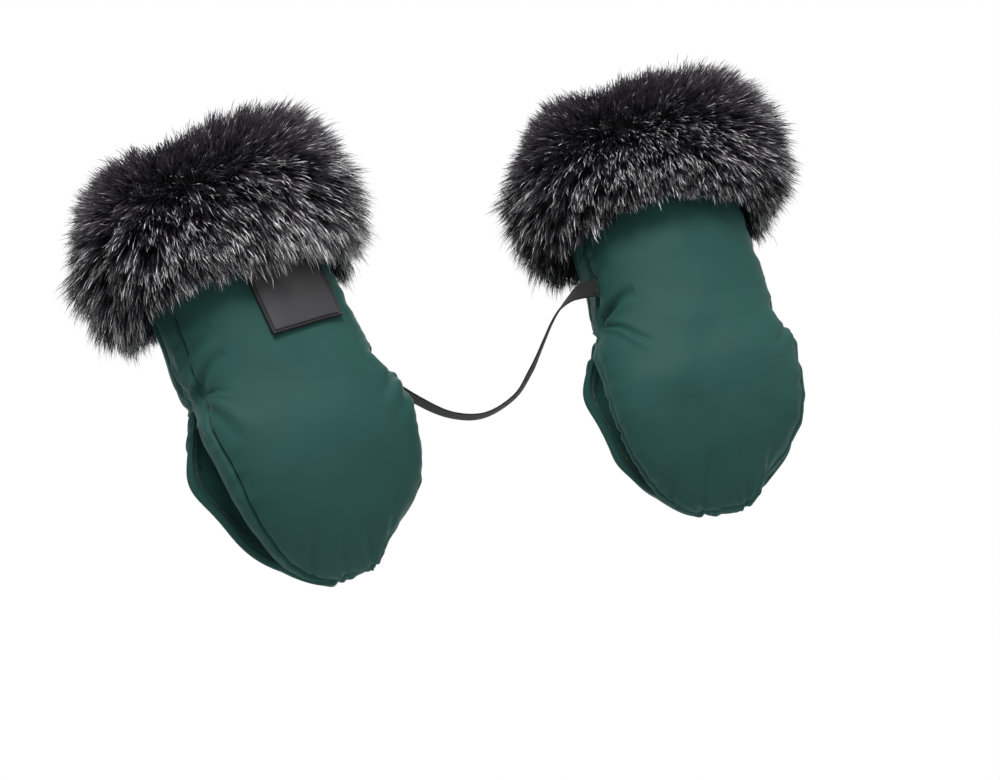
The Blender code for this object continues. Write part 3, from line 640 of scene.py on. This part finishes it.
def makeFleece():  # dark napped lining: soft pills over a velvety sheen
    material, tree, shader = newMaterial("dark lining fleece", Roughness=0.95, Sheen_Weight=0.6,
                                         Sheen_Roughness=0.6, Specular_IOR_Level=0.1)
    place = addNode(tree, "TexCoord", output="Object")
    pills = addNode(tree, "TexVoronoi", {"Vector": place, "Scale": scaleFor(2.381)})
    nap = addNode(tree, "TexNoise", {"Vector": place, "Scale": scaleFor(1.111), "Detail": 3.0})
    height = addNode(tree, "Math", {0: pills, 1: nap}, operation="ADD")
    share = addNode(tree, "MapRange", {0: height, 1: 0.4, 2: 1.4})
    feed(tree, shader.inputs["Base Color"], colourBetween(tree, share, "#1d1e20", "#333437"))
    roughenedBy(tree, shader, height, 0.0009, 0.8)
    return material


shellCloth = makeShellCloth()
fleece = makeFleece()
gussetCells = grid["gussetCells"]
frontColumns = np.concatenate([np.linspace(-2, -1, gussetCells + 1),
                               np.linspace(-1, 1, grid["panelCells"] + 1)[1:],
                               np.linspace(1, 2, gussetCells + 1)[1:]])
backAngles = np.linspace(-90, 90, grid["backCells"] + 1)
liningStandoff = 0.0019
seamGap = 0.00015  # how far each cover is drawn back from a seam
sheets = {}


def strip(points, first, last):  # some columns of a sheet, drawn back a little from their seams
    part = points[:, first:last + 1].copy()
    if first > 0:
        part[:, 0] += unit(part[:, 1] - part[:, 0]) * seamGap
    if last < points.shape[1] - 1:
        part[:, -1] += unit(part[:, -2] - part[:, -1]) * seamGap
    return part


def insideHeights(heights):  # the lining stops above the tip
    return np.where(heights < 0, heights * (1 - shape["edgeWall"] / shape["tipDrop"]), heights)


def bentFromMuff(piece):  # the flap's pieces have their placing baked into their mesh
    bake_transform(piece)


def addCushion(side, part, outer, inner, lay, material, slot, replaced, isFlap=False):
    mesh = closedBetween(placed(side, outer), placed(side, inner), lay)
    piece = addPiece(f"{side}_{part}", mesh, material, None if isFlap else f"{side}_muff",
                     [f"{side}_{node}" for node in replaced])
    if isFlap:
        bentFromMuff(piece)
    return piece


def addFrontCover(side, seed):
    heights = rowsBetween(-shape["tipDrop"], shape["cuffRise"], grid["frontRows"])
    angles = anglesOf(side, frontColumns, heights)
    outer, lay = dressedSheet(side, True, angles, heights, seed, folds[side], (gussetCells, -gussetCells - 1))
    sheets[side] = (heights, outer)
    inner = archSheet(side, angles, insideHeights(heights), True, liningStandoff)
    outer, inner, lay = closedTip(outer, inner, lay)
    last = len(frontColumns) - 1
    ends = ("outer", "inner") if side == "left" else ("inner", "outer")
    parts = (("front", gussetCells, last - gussetCells, ["front_panel", "front_wadding"]),
             (f"{ends[0]}_gusset", 0, gussetCells, [f"{ends[0]}_gusset"]),
             (f"{ends[1]}_gusset", last - gussetCells, last, [f"{ends[1]}_gusset"]))
    for part, first, final, replaced in parts:
        piece = addCushion(side, f"{part}_cover", strip(outer, first, final), strip(inner, first, final),
                           lay[:, first:final + 1], shellCloth, "shell_cloth", replaced)


def addBackCovers(side, seed):
    pinch, gap = shape["pinchRise"], shape["gap"] / 2
    parts = (("back", pinch + gap, shape["cuffRise"], grid["backRows"], 5, 0),
             ("flap", -shape["tipDrop"], pinch - gap, grid["flapRows"], 9, -1))
    for part, low, high, rows, seedStep, edgeRow in parts:
        heights = rowsBetween(low, high, rows)
        outer, lay = dressedSheet(side, False, backAngles[None], heights, seed + seedStep, folds[part],
                                  edgeRow=edgeRow)
        inner = archSheet(side, backAngles[None], insideHeights(heights), False, liningStandoff)
        if part == "flap":
            outer, inner, lay = closedTip(outer, inner, lay)
        piece = addCushion(side, f"{part}_cover", outer, inner, lay, shellCloth, "shell_cloth",
                           [f"{part}_panel", f"{part}_wadding"], part == "flap")


# millimetres, but for edgeAngle in degrees and thickness in metres
lining = {"edgeAngle": 87, "thickness": 0.0015, "lift": 0.15, "swell": 0.5, "swellWaves": (22, 14, 40),
          "stillBeyond": 75, "stillPower": 6, "tipFade": 12}


def addLinings(side, seed):
    pinch, gap, tip = shape["pinchRise"], shape["gap"] / 2, shape["tipDrop"] - shape["edgeWall"]
    parts = (("front", True, -tip, shape["cuffRise"]), ("back", False, pinch + gap, shape["cuffRise"]),
             ("flap", False, -tip, pinch - gap))
    angles = np.linspace(-lining["edgeAngle"], lining["edgeAngle"], grid["liningCells"] + 1)[None]
    for part, isFront, low, high in parts:
        heights = rowsBetween(low, high, grid["liningRows"])
        bare = archSheet(side, angles, heights, isFront, 0.0)
        q, z = 1000 * layOf(bare)[:, :, 0], 1000 * heights[:, None]
        swell = lining["swell"] * waves(seed + 11, q, z, *lining["swellWaves"]) * \
            np.exp(-(np.abs(q) / lining["stillBeyond"]) ** lining["stillPower"])
        fade = np.clip((z + 1000 * shape["seatTopDrop"]) / lining["tipFade"], 0, 1)
        inner = bare - normalsOf(bare, isFront) * (lining["lift"] + swell * fade)[:, :, None] / 1000
        outer = archSheet(side, angles, heights, isFront, lining["thickness"])
        addCushion(side, f"{part}_lining_fleece", inner, outer, None, fleece, "lining_fleece",
                   [f"{part}_lining"], part == "flap")


facing = {"fromAngle": 44.0, "turnAngle": 83.0, "lift": 0.0011, "thickness": 0.0007, "reach": 0.0024,
          "top": 0.050, "bottom": -0.052, "overlap": 0.0006, "slotRoom": 0.0012, "rows": 70, "columns": 24,
          "ripple": 0.45, "rippleWaves": (9, 9, 24)}  # metres and degrees, but the ripples in millimetres


def addFacings(side, seed):  # shell cloth turned in along the flap's open edges, over the lining's edge
    heights = np.linspace(facing["bottom"], facing["top"], facing["rows"])
    room = np.clip(slotDepth(heights) - facing["slotRoom"], 0, facing["overlap"])[:, None, None]
    for end, way in (("left", -1), ("right", 1)):
        angles = np.linspace(way * facing["fromAngle"], way * 90, facing["columns"])[None]
        turned = np.clip((np.abs(angles[..., None]) - facing["turnAngle"]) / (90 - facing["turnAngle"]), 0, 1)
        bare = archSheet(side, angles, heights, False, -facing["lift"]) * (1 - turned) + \
            archSheet(side, angles, heights, False, facing["reach"]) * turned
        bare = bare - np.array((0, 1.0, 0)) * room * turned
        lay = layOf(bare)
        ripples = facing["ripple"] / 1000 * waves(seed + 31, 1000 * lay[:, :, 0], 1000 * heights[:, None],
                                                  *facing["rippleWaves"])
        depth = facing["thickness"] + ripples * (1 - turned[..., 0])
        inner = bare - normalsOf(bare, False) * depth[:, :, None]
        addCushion(side, f"flap_{end}_facing", inner, bare, lay, shellCloth, "shell_cloth", ["flap_panel"],
                   True)


for side, seed in (("left", 21), ("right", 43)):
    addFrontCover(side, seed)
    addBackCovers(side, seed)
    addLinings(side, seed)
    addFacings(side, seed)
    print(side, "covers and linings ready")


# The fur: a dark undercoat, and long hairs whose ends are silvery on the lower fall

# metres, but fallPath, crownPaths, dropPaths and what ends in Waves are in millimetres, and odds, shares and
# tones have no unit; a pair is a mean and a spread, or a range
fur = {"backingRise": 0.136, "furRise": 0.104, "topRise": 0.210, "sideLength": 0.043, "faceLength": 0.036,
       "outsidePath": 0.054, "edgePath": 0.009, "edgeRise": 0.0012, "insidePath": 0.018, "insideRise": 0.185,
       "loopsFrom": 0.130, "loops": 5, "loopCells": 720, "loopReach": 6,
       "fallPath": 26, "leftSkirt": 0.22, "leftCrown": -0.34, "crownPaths": (32, 44, 56, 63),
       "leftDrop": 0.06, "dropShift": 0.15, "dropPaths": (38, 48),
       "undercoat": 0.64, "coatCells": 180, "coatRows": 42, "coatEdge": 0.006, "coatLift": 0.0005,
       "coatSwell": 0.10, "coatWaves": (14, 6, 16),
       "frontHairs": 39000, "backHairs": 30000, "mouthHairs": 9000, "frontTurns": 0.52, "skirtDensity": 0.55,
       "tuft": 0.0064, "tuftWave": 0.35, "tuftTurns": (2.1, 40, 1.7), "tuftRows": 64,
       "tuftLean": (0.0022, 0.0022, 0.0018), "pull": (0.42, 0.16), "pullRange": (0.1, 0.8),
       # painted shade: each muff's left side is kept darker by having fewer silvery hairs, more so on the right
       # muff
       "paintedShadeLeft": {"left": 0.35, "right": 0.75}, "tuftOdds": (0.4, 1.6), "silverTones": (0.75, 1.0),
       "sheenGreyShares": (0.2, 1.0), "plainTone": 0.4, "silverBand": (0.82, 0.87), "mapMargin": 0.02,
       "reach": (0.945, 0.085), "reachRange": (0.7, 1.13), "tuftReach": (0.93, 1.04), "silverReach": 0.06,
       "shortOdds": 0.10, "shortReach": (0.55, 0.9), "uneven": 0.07, "unevenWaves": (14, 12, 34),
       "stray": (0.0026, 0.0022), "bend": (0.36, 0.6), "bendSpread": 0.16, "roll": 0.7,
       "width": 0.00037, "silverWidth": 1.22, "widthRange": (0.72, 1.12),
       "levels": (0.12, 0.50, 0.91, 1.0), "taper": (0.85, 1.0, 1.0, 0.0)}
# the share of silvery hairs, and how far painted sheen turns the plain ones greyer, by path
silverOdds = ((0, 0.27), (26, 0.21), (36, 0.10), (44, 0.05), (58, 0.03), (81, 0.04))
paintedSheenGrey = ((0, 0.05), (30, 0.12), (44, 0.80), (54, 1.00), (81, 0.50))
# how much shorter the lower fall hangs, as a share of the fur's height, by place across the muff in metres
fringeRises = {"left": ((-0.054, 0.0), (-0.042, 0.065), (-0.022, 0.080), (0.0, 0.035), (0.037, 0.0)),
               "right": ((-0.047, 0.0), (-0.027, 0.110), (0.0, 0.180), (0.027, 0.125), (0.054, 0.060))}
# where a hair's root is along the backing, in millimetres from its outer lower edge, and where its tip is:
# outward as a share of the pile's length, upward as a share of the fur's height, and its first way in degrees
hairStops = ((0, 0.14, 0.000, -38), (5, 0.38, 0.015, -28), (15, 0.78, 0.160, -14), (26, 1.00, 0.385, 2),
             (34, 1.01, 0.560, 10), (38, 0.99, 0.700, 22), (46, 0.85, 0.860, 42), (54, 0.56, 0.970, 62),
             (59, 0.20, 1.000, 86), (63, -0.10, 1.000, 104), (72, -0.38, 0.930, 140), (81, -0.50, 0.660, 172))
upright = np.array((0, 0, 1.0))
loopCells = fur["loopCells"]


def cuffLoop(height, isInner):  # an even loop round the cuff: places, outward ways and its length
    angles = np.linspace(-90, 90, loopCells // 4 + 1)
    inset = 0.0 if isInner else None
    front = archSheet("left", angles, np.array([height]), True, inset)[0]
    back = archSheet("left", angles, np.array([height]), False, inset)[0][::-1]
    front[[0, -1], 1] = back[[0, -1], 1] = 0
    loop = np.vstack([front, back[1:]])
    along = alongOf(loop)
    places = np.linspace(0, along[-1], loopCells + 1)
    even = np.stack([np.interp(places, along, loop[:, k]) for k in range(3)], 1)
    ahead = np.roll(even[:-1], -fur["loopReach"], axis=0) - np.roll(even[:-1], fur["loopReach"], axis=0)
    outward = unit(np.stack([ahead[:, 1], -ahead[:, 0], np.zeros(loopCells)], 1))
    return even[:-1], outward, along[-1]


cuffRows = np.linspace(fur["loopsFrom"], shape["cuffRise"], fur["loops"])
outsideLoops = [cuffLoop(height, False) for height in cuffRows]  # both cuffs are alike
insideLoop = cuffLoop(fur["insideRise"], True)
cuffLength = outsideLoops[-1][2]


def onLoop(values, turn):
    at = np.mod(turn, 1.0) * loopCells
    low = at.astype(int) % loopCells
    return values[low] + (values[(low + 1) % loopCells] - values[low]) * (at - np.floor(at))[:, None]


def furPlaces(side, turn, path):  # roots, outward ways, tips and first ways, by place round the cuff and path
    rise = np.minimum(path, fur["outsidePath"]) + fur["backingRise"]
    row = np.clip((rise - cuffRows[0]) / (cuffRows[1] - cuffRows[0]), 0, len(cuffRows) - 1)
    places = np.array([onLoop(loop[0], turn) for loop in outsideLoops])
    base = np.minimum(row.astype(int), len(cuffRows) - 2)
    share = (row - base)[:, None]
    pick = np.arange(len(turn))
    outside = places[base, pick] * (1 - share) + places[base + 1, pick] * share
    outward = unit(onLoop(outsideLoops[-1][1], turn))
    inside = onLoop(insideLoop[0], turn)
    over = np.clip((path - fur["outsidePath"]) / fur["edgePath"], 0, 1)[:, None]
    down = np.maximum(path - fur["outsidePath"] - fur["edgePath"], 0)
    roots = outside * (1 - over) + inside * over
    roots[:, 2] = rise - down + fur["edgeRise"] * np.sin(np.pi * over[:, 0])
    stops = np.array(hairStops, float)
    at = path * 1000
    out, up, first = (np.interp(at, stops[:, 0], stops[:, k]) for k in (1, 2, 3))
    fall = np.clip(1 - at / fur["fallPath"], 0, 1)
    leftward = np.maximum(0, -outward[:, 0]) ** 2
    out = out + leftward * (fur["leftSkirt"] * fall
                            + fur["leftCrown"] * np.interp(at, fur["crownPaths"], (0, 1, 1, 0)))
    up = up + betweenStops(outside[:, 0], fringeRises[side]) * fall
    leftOf = np.clip(fur["dropShift"] - outside[:, 0] / shape["widths"][-1], 0, 1)
    up = up - fur["leftDrop"] * np.sin(np.pi * leftOf) * np.interp(at, fur["dropPaths"], (0, 1))
    length = fur["faceLength"] + (fur["sideLength"] - fur["faceLength"]) * np.abs(outward[:, 0])
    tips = outside + outward * (out * length)[:, None]
    tips[:, 2] = fur["furRise"] + (fur["topRise"] - fur["furRise"]) * up
    ways = outward * np.cos(np.radians(first))[:, None] + upright * np.sin(np.radians(first))[:, None]
    return roots, outward, tips, ways


def tuftsOf(seed, turn, path):  # which tuft each hair is in, in staggered rows
    size, wave, turns, rows = fur["tuft"], fur["tuftWave"], fur["tuftTurns"], fur["tuftRows"]
    across = turn * cuffLength / size + wave * np.sin(path / size * turns[0] + turn * turns[1])
    along = path / size + wave * np.sin(across * turns[2])
    stagger = np.random.default_rng(seed).uniform(0, 1, rows)[along.astype(int) % rows]
    tuft = (np.floor(across + stagger) * rows + np.floor(along)).astype(int)
    names, which = np.unique(tuft, return_inverse=True)
    return len(names), which


def hairsOf(side, seed, count, pathRange, turnRange):
    chance = np.random.default_rng(seed)
    turn = chance.uniform(*turnRange, count)
    path = chance.uniform(*pathRange, count)
    if pathRange[0] == 0:  # the skirt is denser, so that the panel's top doesn't show through it
        path = path * (fur["skirtDensity"] + (1 - fur["skirtDensity"]) * path / pathRange[1])
    roots, outward, tips, ways = furPlaces(side, turn, path)
    # the hairs of a tuft lean towards its own tip
    tufts, which = tuftsOf(seed + 1, turn, path)
    tuftTurn, tuftPath = (np.bincount(which, values) / np.bincount(which) for values in (turn, path))
    tuftChance = np.random.default_rng(seed + 2)
    lean = tuftChance.normal(0, 1, (tufts, 3)) * fur["tuftLean"]
    pull = np.clip(tuftChance.normal(*fur["pull"], tufts), *fur["pullRange"])
    tuftTips = furPlaces(side, tuftTurn, tuftPath)[2] + lean
    tips = tips + (tuftTips[which] - tips) * pull[which][:, None]
    # silvery hairs are common on the lower fall, and the plain ones are drawn greyer at the top as painted
    # sheen
    at = path * 1000
    # painted shade: the silvery hairs are thinned towards each muff's left
    odds = betweenStops(at, silverOdds) * (1 - fur["paintedShadeLeft"][side] * np.clip(-outward[:, 0], 0, 1))
    silvery = chance.random(count) < odds * tuftChance.uniform(*fur["tuftOdds"], tufts)[which]
    sheenGrey = betweenStops(at, paintedSheenGrey) * chance.uniform(*fur["sheenGreyShares"], count)
    tone = np.where(silvery, chance.uniform(*fur["silverTones"], count), fur["plainTone"] * sheenGrey)
    # each hair's own length and lean
    reach = np.clip(chance.normal(*fur["reach"], count), *fur["reachRange"])
    reach = reach * tuftChance.uniform(*fur["tuftReach"], tufts)[which]
    isShort = chance.random(count) < fur["shortOdds"]
    reach = np.where(isShort, reach * chance.uniform(*fur["shortReach"], count), reach)
    reach = reach + fur["uneven"] * waves(seed + 3, turn * 1000 * cuffLength, at, *fur["unevenWaves"])
    for way, spread in zip((unit(np.cross(outward, upright)), upright), fur["stray"]):
        tips = tips + way * chance.normal(0, spread, count)[:, None]
    tips = roots + (tips - roots) * (reach + fur["silverReach"] * silvery)[:, None]
    span = np.linalg.norm(tips - roots, axis=1)[:, None]
    start = unit(ways + chance.normal(0, fur["bendSpread"], (count, 3)))
    bent = roots + start * span * chance.uniform(*fur["bend"], count)[:, None]
    steps = np.array(fur["levels"])
    line = np.stack([(1 - t) ** 2 * roots + 2 * t * (1 - t) * bent + t * t * tips for t in steps], 1)
    ahead = unit(np.gradient(line, axis=1))
    flat = unit(np.cross(ahead, outward[:, None]))
    up = np.cross(flat, ahead)
    roll = chance.normal(0, fur["roll"], count)[:, None, None]
    flat = flat * np.cos(roll) + up * np.sin(roll)
    width = fur["width"] * chance.uniform(*fur["widthRange"], count)
    width = width * np.where(silvery, fur["silverWidth"], 1)
    half = flat * (width[:, None] * np.array(fur["taper"]) / 2)[:, :, None]
    return line, half, tone, (steps - steps[0]) / (steps[-1] - steps[0])


def hairMesh(name, side, line, half, tone, steps):  # flat blades: pairs of points, and one point at the tip
    count, levels = line.shape[:2]
    edges = np.stack([line - half, line + half], 2).reshape(count, levels * 2, 3)[:, :-1]
    each = levels * 2 - 1
    faces = []
    for start in range(0, count * each, each):
        faces += [(k, k + 1, k + 3, k + 2) for k in range(start, start + each - 3, 2)]
        faces.append((start + each - 3, start + each - 2, start + each - 1))
    data = bpy.data.meshes.new(name)
    data.from_pydata(placed(side, edges.reshape(-1, 3)), [], faces)
    corners = np.empty(len(data.loops), np.int32)
    data.loops.foreach_get("vertex_index", corners)
    lay = np.stack(np.broadcast_arrays(tone[:, None], np.repeat(steps, 2)[:each]), 2)
    lay = (fur["mapMargin"] + (1 - 2 * fur["mapMargin"]) * lay).astype(np.float32)
    # the export bakes through a map of this name
    layer = data.uv_layers.new(name="OFBake")  # U is the hair's tone and V its place along it
    layer.uv.foreach_set("vector", lay.reshape(-1, 2)[corners].ravel())
    return data


# glossy dark fibre, black, greyer where painted sheen lifts it, or with a silvery end drawn near white, partly
# its own silver and partly a painted glint: the map's U is its tone, and V runs to the tip
def makeHair():
    material, tree, shader = newMaterial("dark hair with silvery ends", Roughness=0.30,
                                         Specular_IOR_Level=0.8)
    lay = addNode(tree, "UVMap", uv_map="OFBake")
    tone, along = addNode(tree, "SeparateXYZ", {0: lay}).node.outputs[:2]
    low, high = fur["silverBand"]
    sheenGrey = addNode(tree, "MapRange", {0: tone, 1: fur["mapMargin"], 2: fur["plainTone"]})
    silverAndGlint = addNode(tree, "MapRange", {0: tone, 1: 0.45, 2: 0.95})
    # painted sheen: the plain hairs go from black towards greyer roots and pale ends, most at the top of the
    # fur
    root = colourBetween(tree, sheenGrey, "#09080a", "#403d43")
    end = colourBetween(tree, sheenGrey, "#1b1a1c", "#a8a2aa")
    dark = colourBetween(tree, along, root, end)
    band = addNode(tree, "MapRange", {0: along, 1: low, 2: high}, interpolation_type="SMOOTHSTEP")
    share = addNode(tree, "Math", {0: band, 1: silverAndGlint}, operation="MULTIPLY")
    # the silvery end's near white is partly its own silver and partly a painted glint
    feed(tree, shader.inputs["Base Color"], colourBetween(tree, share, dark, "#fbfaf9"))
    return material


hairCoat = makeHair()
# the felt of short hairs between the long ones: clumped, and in shadow
undercoat = patterned("dark undercoat", "TexNoise",
                      {"Scale": scaleFor(3.846), "Detail": 4.0, "Roughness": 0.65},
                      "#060607", "#161518", 0.004, (0.35, 0.7), Roughness=0.9, Specular_IOR_Level=0.15)


def addUndercoat(side, seed):
    around = fur["coatCells"] + 1
    turn = np.linspace(0, 1, around)
    stations = np.linspace(0, hairStops[-1][0] / 1000, fur["coatRows"])
    fullness = fur["undercoat"] * np.minimum(1, np.minimum(stations, stations[::-1]) / fur["coatEdge"])
    rows = []
    for path, share in [*zip(stations, fullness), *[(path, 0.0) for path in stations[::-1][1:]]]:
        roots, outward, tips, _ = furPlaces(side, turn, np.full(around, path))
        swell = waves(seed, turn * 1000 * cuffLength, np.full(around, path * 1000), *fur["coatWaves"])
        uneven = 1 + fur["coatSwell"] * swell
        uneven[-1] = uneven[0]
        rows.append(roots + (tips - roots) * (share * uneven)[:, None] + outward * fur["coatLift"])
    mesh = bmesh.new()
    sheetInto(mesh, placed(side, np.array(rows)))
    bmesh.ops.remove_doubles(mesh, verts=mesh.verts, dist=1e-6)
    bmesh.ops.recalc_face_normals(mesh, faces=mesh.faces)
    addPiece(f"{side}_fur_undercoat", mesh, undercoat, f"{side}_muff", [f"{side}_fur_pile"])


def addHairs(side, seed):
    outside, front = fur["outsidePath"], fur["frontTurns"]
    inside = outside + fur["edgePath"] + fur["insidePath"]
    parts = (("front", fur["frontHairs"], (0, outside), (0.0, front)),
             ("back", fur["backHairs"], (0, outside), (front, 1.0)),
             ("mouth", fur["mouthHairs"], (outside, inside), (0.0, 1.0)))
    for k, (part, count, pathRange, turnRange) in enumerate(parts):
        name = f"{side}_fur_{part}_hairs"
        data = hairMesh(name, side, *hairsOf(side, seed + 100 * k, count, pathRange, turnRange))
        finished(name, data, hairCoat, f"{side}_muff", [f"{side}_fur_pile"])


for side, seed in (("left", 301), ("right", 503)):
    addUndercoat(side, seed)
    addHairs(side, seed)
    print(side, "fur ready")


# The bare rubber label on the left muff, with its double raised rim

# metres, but what ends in Away or Width, corner and shadeEdge are in millimetres from the label's edge
label = {"width": 0.0475, "height": 0.044, "middle": 0.0175, "low": 0.0695, "field": 0.0014,
         "edgeShare": 0.35, "rim": 0.0012, "rimAway": 0.80, "rimWidth": 0.55, "innerRim": 0.0008,
         "innerAway": 2.50, "innerWidth": 0.45, "rimPower": 4, "corner": 0.5, "shadeEdge": 0.6,
         "lift": 0.0003, "curl": 0.0011, "cells": (130, 116), "edgePacking": 0.75}


def onFront(side, across, rise, lift):  # places on the dressed front panel, lifted off it
    heights, outer = sheets[side]
    width = sizedAt(rise, shape["tipDrop"], shape["widths"], shape["widthPower"])
    angles = np.degrees(np.arcsin(np.clip(np.abs(across) / width, 0, 1) ** (1 / shape["sidePower"])))
    seams = [betweenStops(rise, stops) for stops in seamTurns[side]]
    turned = angles * np.sign(across) / np.where(across < 0, seams[0], seams[1])
    column = np.interp(turned, frontColumns, np.arange(len(frontColumns)))
    row = np.interp(rise, heights, np.arange(len(heights)))
    i, j = row.astype(int), column.astype(int)
    s, t = (row - i)[..., None], (column - j)[..., None]
    i2, j2 = np.minimum(i + 1, outer.shape[0] - 1), np.minimum(j + 1, outer.shape[1] - 1)
    place, normal = ((values[i, j] * (1 - t) + values[i, j2] * t) * (1 - s)
                     + (values[i2, j] * (1 - t) + values[i2, j2] * t) * s
                     for values in (outer, normalsOf(outer, True)))
    return place + unit(normal) * lift[..., None]


def makeRubber():  # soft moulded rubber: fine matt grain with a low broad gloss, and painted shade darkening its raised rims and outer edge
    material, tree, shader = newMaterial("dark label rubber", Roughness=0.5, Specular_IOR_Level=0.45)
    place = addNode(tree, "TexCoord", output="Object")
    grain = addNode(tree, "TexNoise", {"Vector": place, "Scale": scaleFor(0.6667), "Detail": 2.0})
    broad = addNode(tree, "TexNoise", {"Vector": place, "Scale": scaleFor(16.667)})
    raised = addNode(tree, "UVMap", uv_map="cloth lay")
    rim = addNode(tree, "SeparateXYZ", {0: raised})
    field = colourBetween(tree, broad, "#2f2f31", "#363638")
    feed(tree, shader.inputs["Base Color"], colourBetween(tree, rim, field, "#1c1b1d"))
    roughenedBy(tree, shader, grain, 0.00006)
    return material


def addLabel():
    columns, rows = label["cells"]
    packing, edge = label["edgePacking"], label["edgeShare"]
    x, y = np.meshgrid(np.linspace(-0.5, 0.5, columns + 1), np.linspace(-0.5, 0.5, rows + 1))
    x, y = (0.5 * np.sin(np.pi * t) * packing + (1 - packing) * t for t in (x, y))  # finer at the rim
    x, y = x * label["width"], y * label["height"]
    fromEdge = 1000 * np.minimum(label["width"] / 2 - np.abs(x), label["height"] / 2 - np.abs(y))
    rounded = np.clip(fromEdge / label["corner"], 0, 1)
    rim, innerRim = (np.exp(-((fromEdge - label[f"{name}Away"]) / label[f"{name}Width"]) ** label["rimPower"])
                     for name in ("rim", "inner"))
    height = label["field"] * (edge + (1 - edge) * np.sqrt(rounded)) + label["rim"] * rim + \
        label["innerRim"] * innerRim
    across, rise = label["middle"] + x, label["low"] + label["height"] / 2 + y
    lowness = 2 * np.clip(0.5 - (rise - label["low"]) / label["height"], 0, 1)
    bottom = label["lift"] + label["curl"] * (lowness * 2 * x / label["width"]) ** 2  # the lower corners curl
    # painted shade on the raised rims and along the label's outermost edge
    paintedShade = np.clip(np.maximum(rim, innerRim) + (fromEdge < label["shadeEdge"]), 0, 1)
    faces = [onFront("left", across, rise, lift) for lift in (bottom + height, bottom)]
    addCushion("left", "label_rubber", *faces, np.stack([paintedShade, paintedShade], 2), makeRubber(), "label_rubber",
               ["label_patch"])


addLabel()


# Bar tacks: rows of thread across the pinched seams

tack = {"length": 0.0080, "width": 0.0022, "thickness": 0.000924, "stitches": 15, "overlap": 1.25,
        "slant": 0.12, "lift": 0.0016, "bow": 0.00108, "segments": 6, "rings": 5}
# twisted green thread: its plies show as flecks of light and dark
thread = patterned("green thread", "TexNoise", {"Scale": scaleFor(0.4167)}, "#173a35", "#2c5a52", 0.0002,
                   Roughness=0.6, Sheen_Weight=0.3)


def addTack(side, end, column):
    heights, outer = sheets[side]
    normals = normalsOf(outer, True)
    i = int(np.argmin(np.abs(heights - shape["pinchRise"])))
    j = int(np.argmin(np.abs(frontColumns - column)))
    middle, normal = outer[i, j], unit(normals[i, j - 2] + normals[i, j + 2])
    across = unit(outer[i, j + 3] - outer[i, j - 3])
    up = np.cross(normal, across)
    turned = Matrix((across, normal, unit(up + across * tack["slant"]))).transposed().to_4x4()
    stitch = tack["length"] / tack["stitches"] * tack["overlap"]
    sizes = Matrix.Diagonal((stitch, tack["thickness"], tack["width"], 1))
    mesh = bmesh.new()
    for k in range(tack["stitches"]):
        share = (k + 0.5) / tack["stitches"] - 0.5
        centre = middle + across * share * tack["length"] + normal * (tack["lift"] + tack["bow"] * abs(share))
        bmesh.ops.create_uvsphere(mesh, u_segments=tack["segments"], v_segments=tack["rings"], radius=0.5,
                                  matrix=Matrix.Translation(centre) @ turned @ sizes)
    turn, place = placeOf(side)
    mesh.transform(Matrix.Translation(place) @ Matrix(turn).to_4x4())
    bmesh.ops.recalc_face_normals(mesh, faces=mesh.faces)
    addPiece(f"{side}_{end}_tack_thread", mesh, thread, f"{side}_muff", [f"{side}_{end}_bar_tack"])


for side, way in (("left", -1), ("right", 1)):
    addTack(side, "outer", way)
    addTack(side, "inner", -way)


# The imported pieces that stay: the fur's knitted backing, and the closure tapes in the tips

stayed = {  # knit shows as fine dimples, the loop tape as brushed nap, and the hook tape as rows of nubs
    "fur_backing": patterned("black knitted backing", "TexVoronoi", {"Scale": scaleFor(1.111)}, "#0d0d0e",
                             "#1c1c1e", 0.0003, Roughness=0.95),
    "loop_tape": patterned("black loop tape", "TexVoronoi", {"Scale": scaleFor(0.7692)}, "#0c0c0d",
                           "#222225", 0.0005, Roughness=0.85, Sheen_Weight=0.3),
    "hook_tape": patterned("black hook tape", "TexVoronoi", {"Scale": scaleFor(1.25)}, "#070708",
                           "#19191b", 0.0008, Roughness=0.85, Sheen_Weight=0.3)}
for side in ("left", "right"):
    for node, material in stayed.items():
        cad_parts[f"{side}_{node}"].data.materials.clear()
        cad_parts[f"{side}_{node}"].data.materials.append(material)
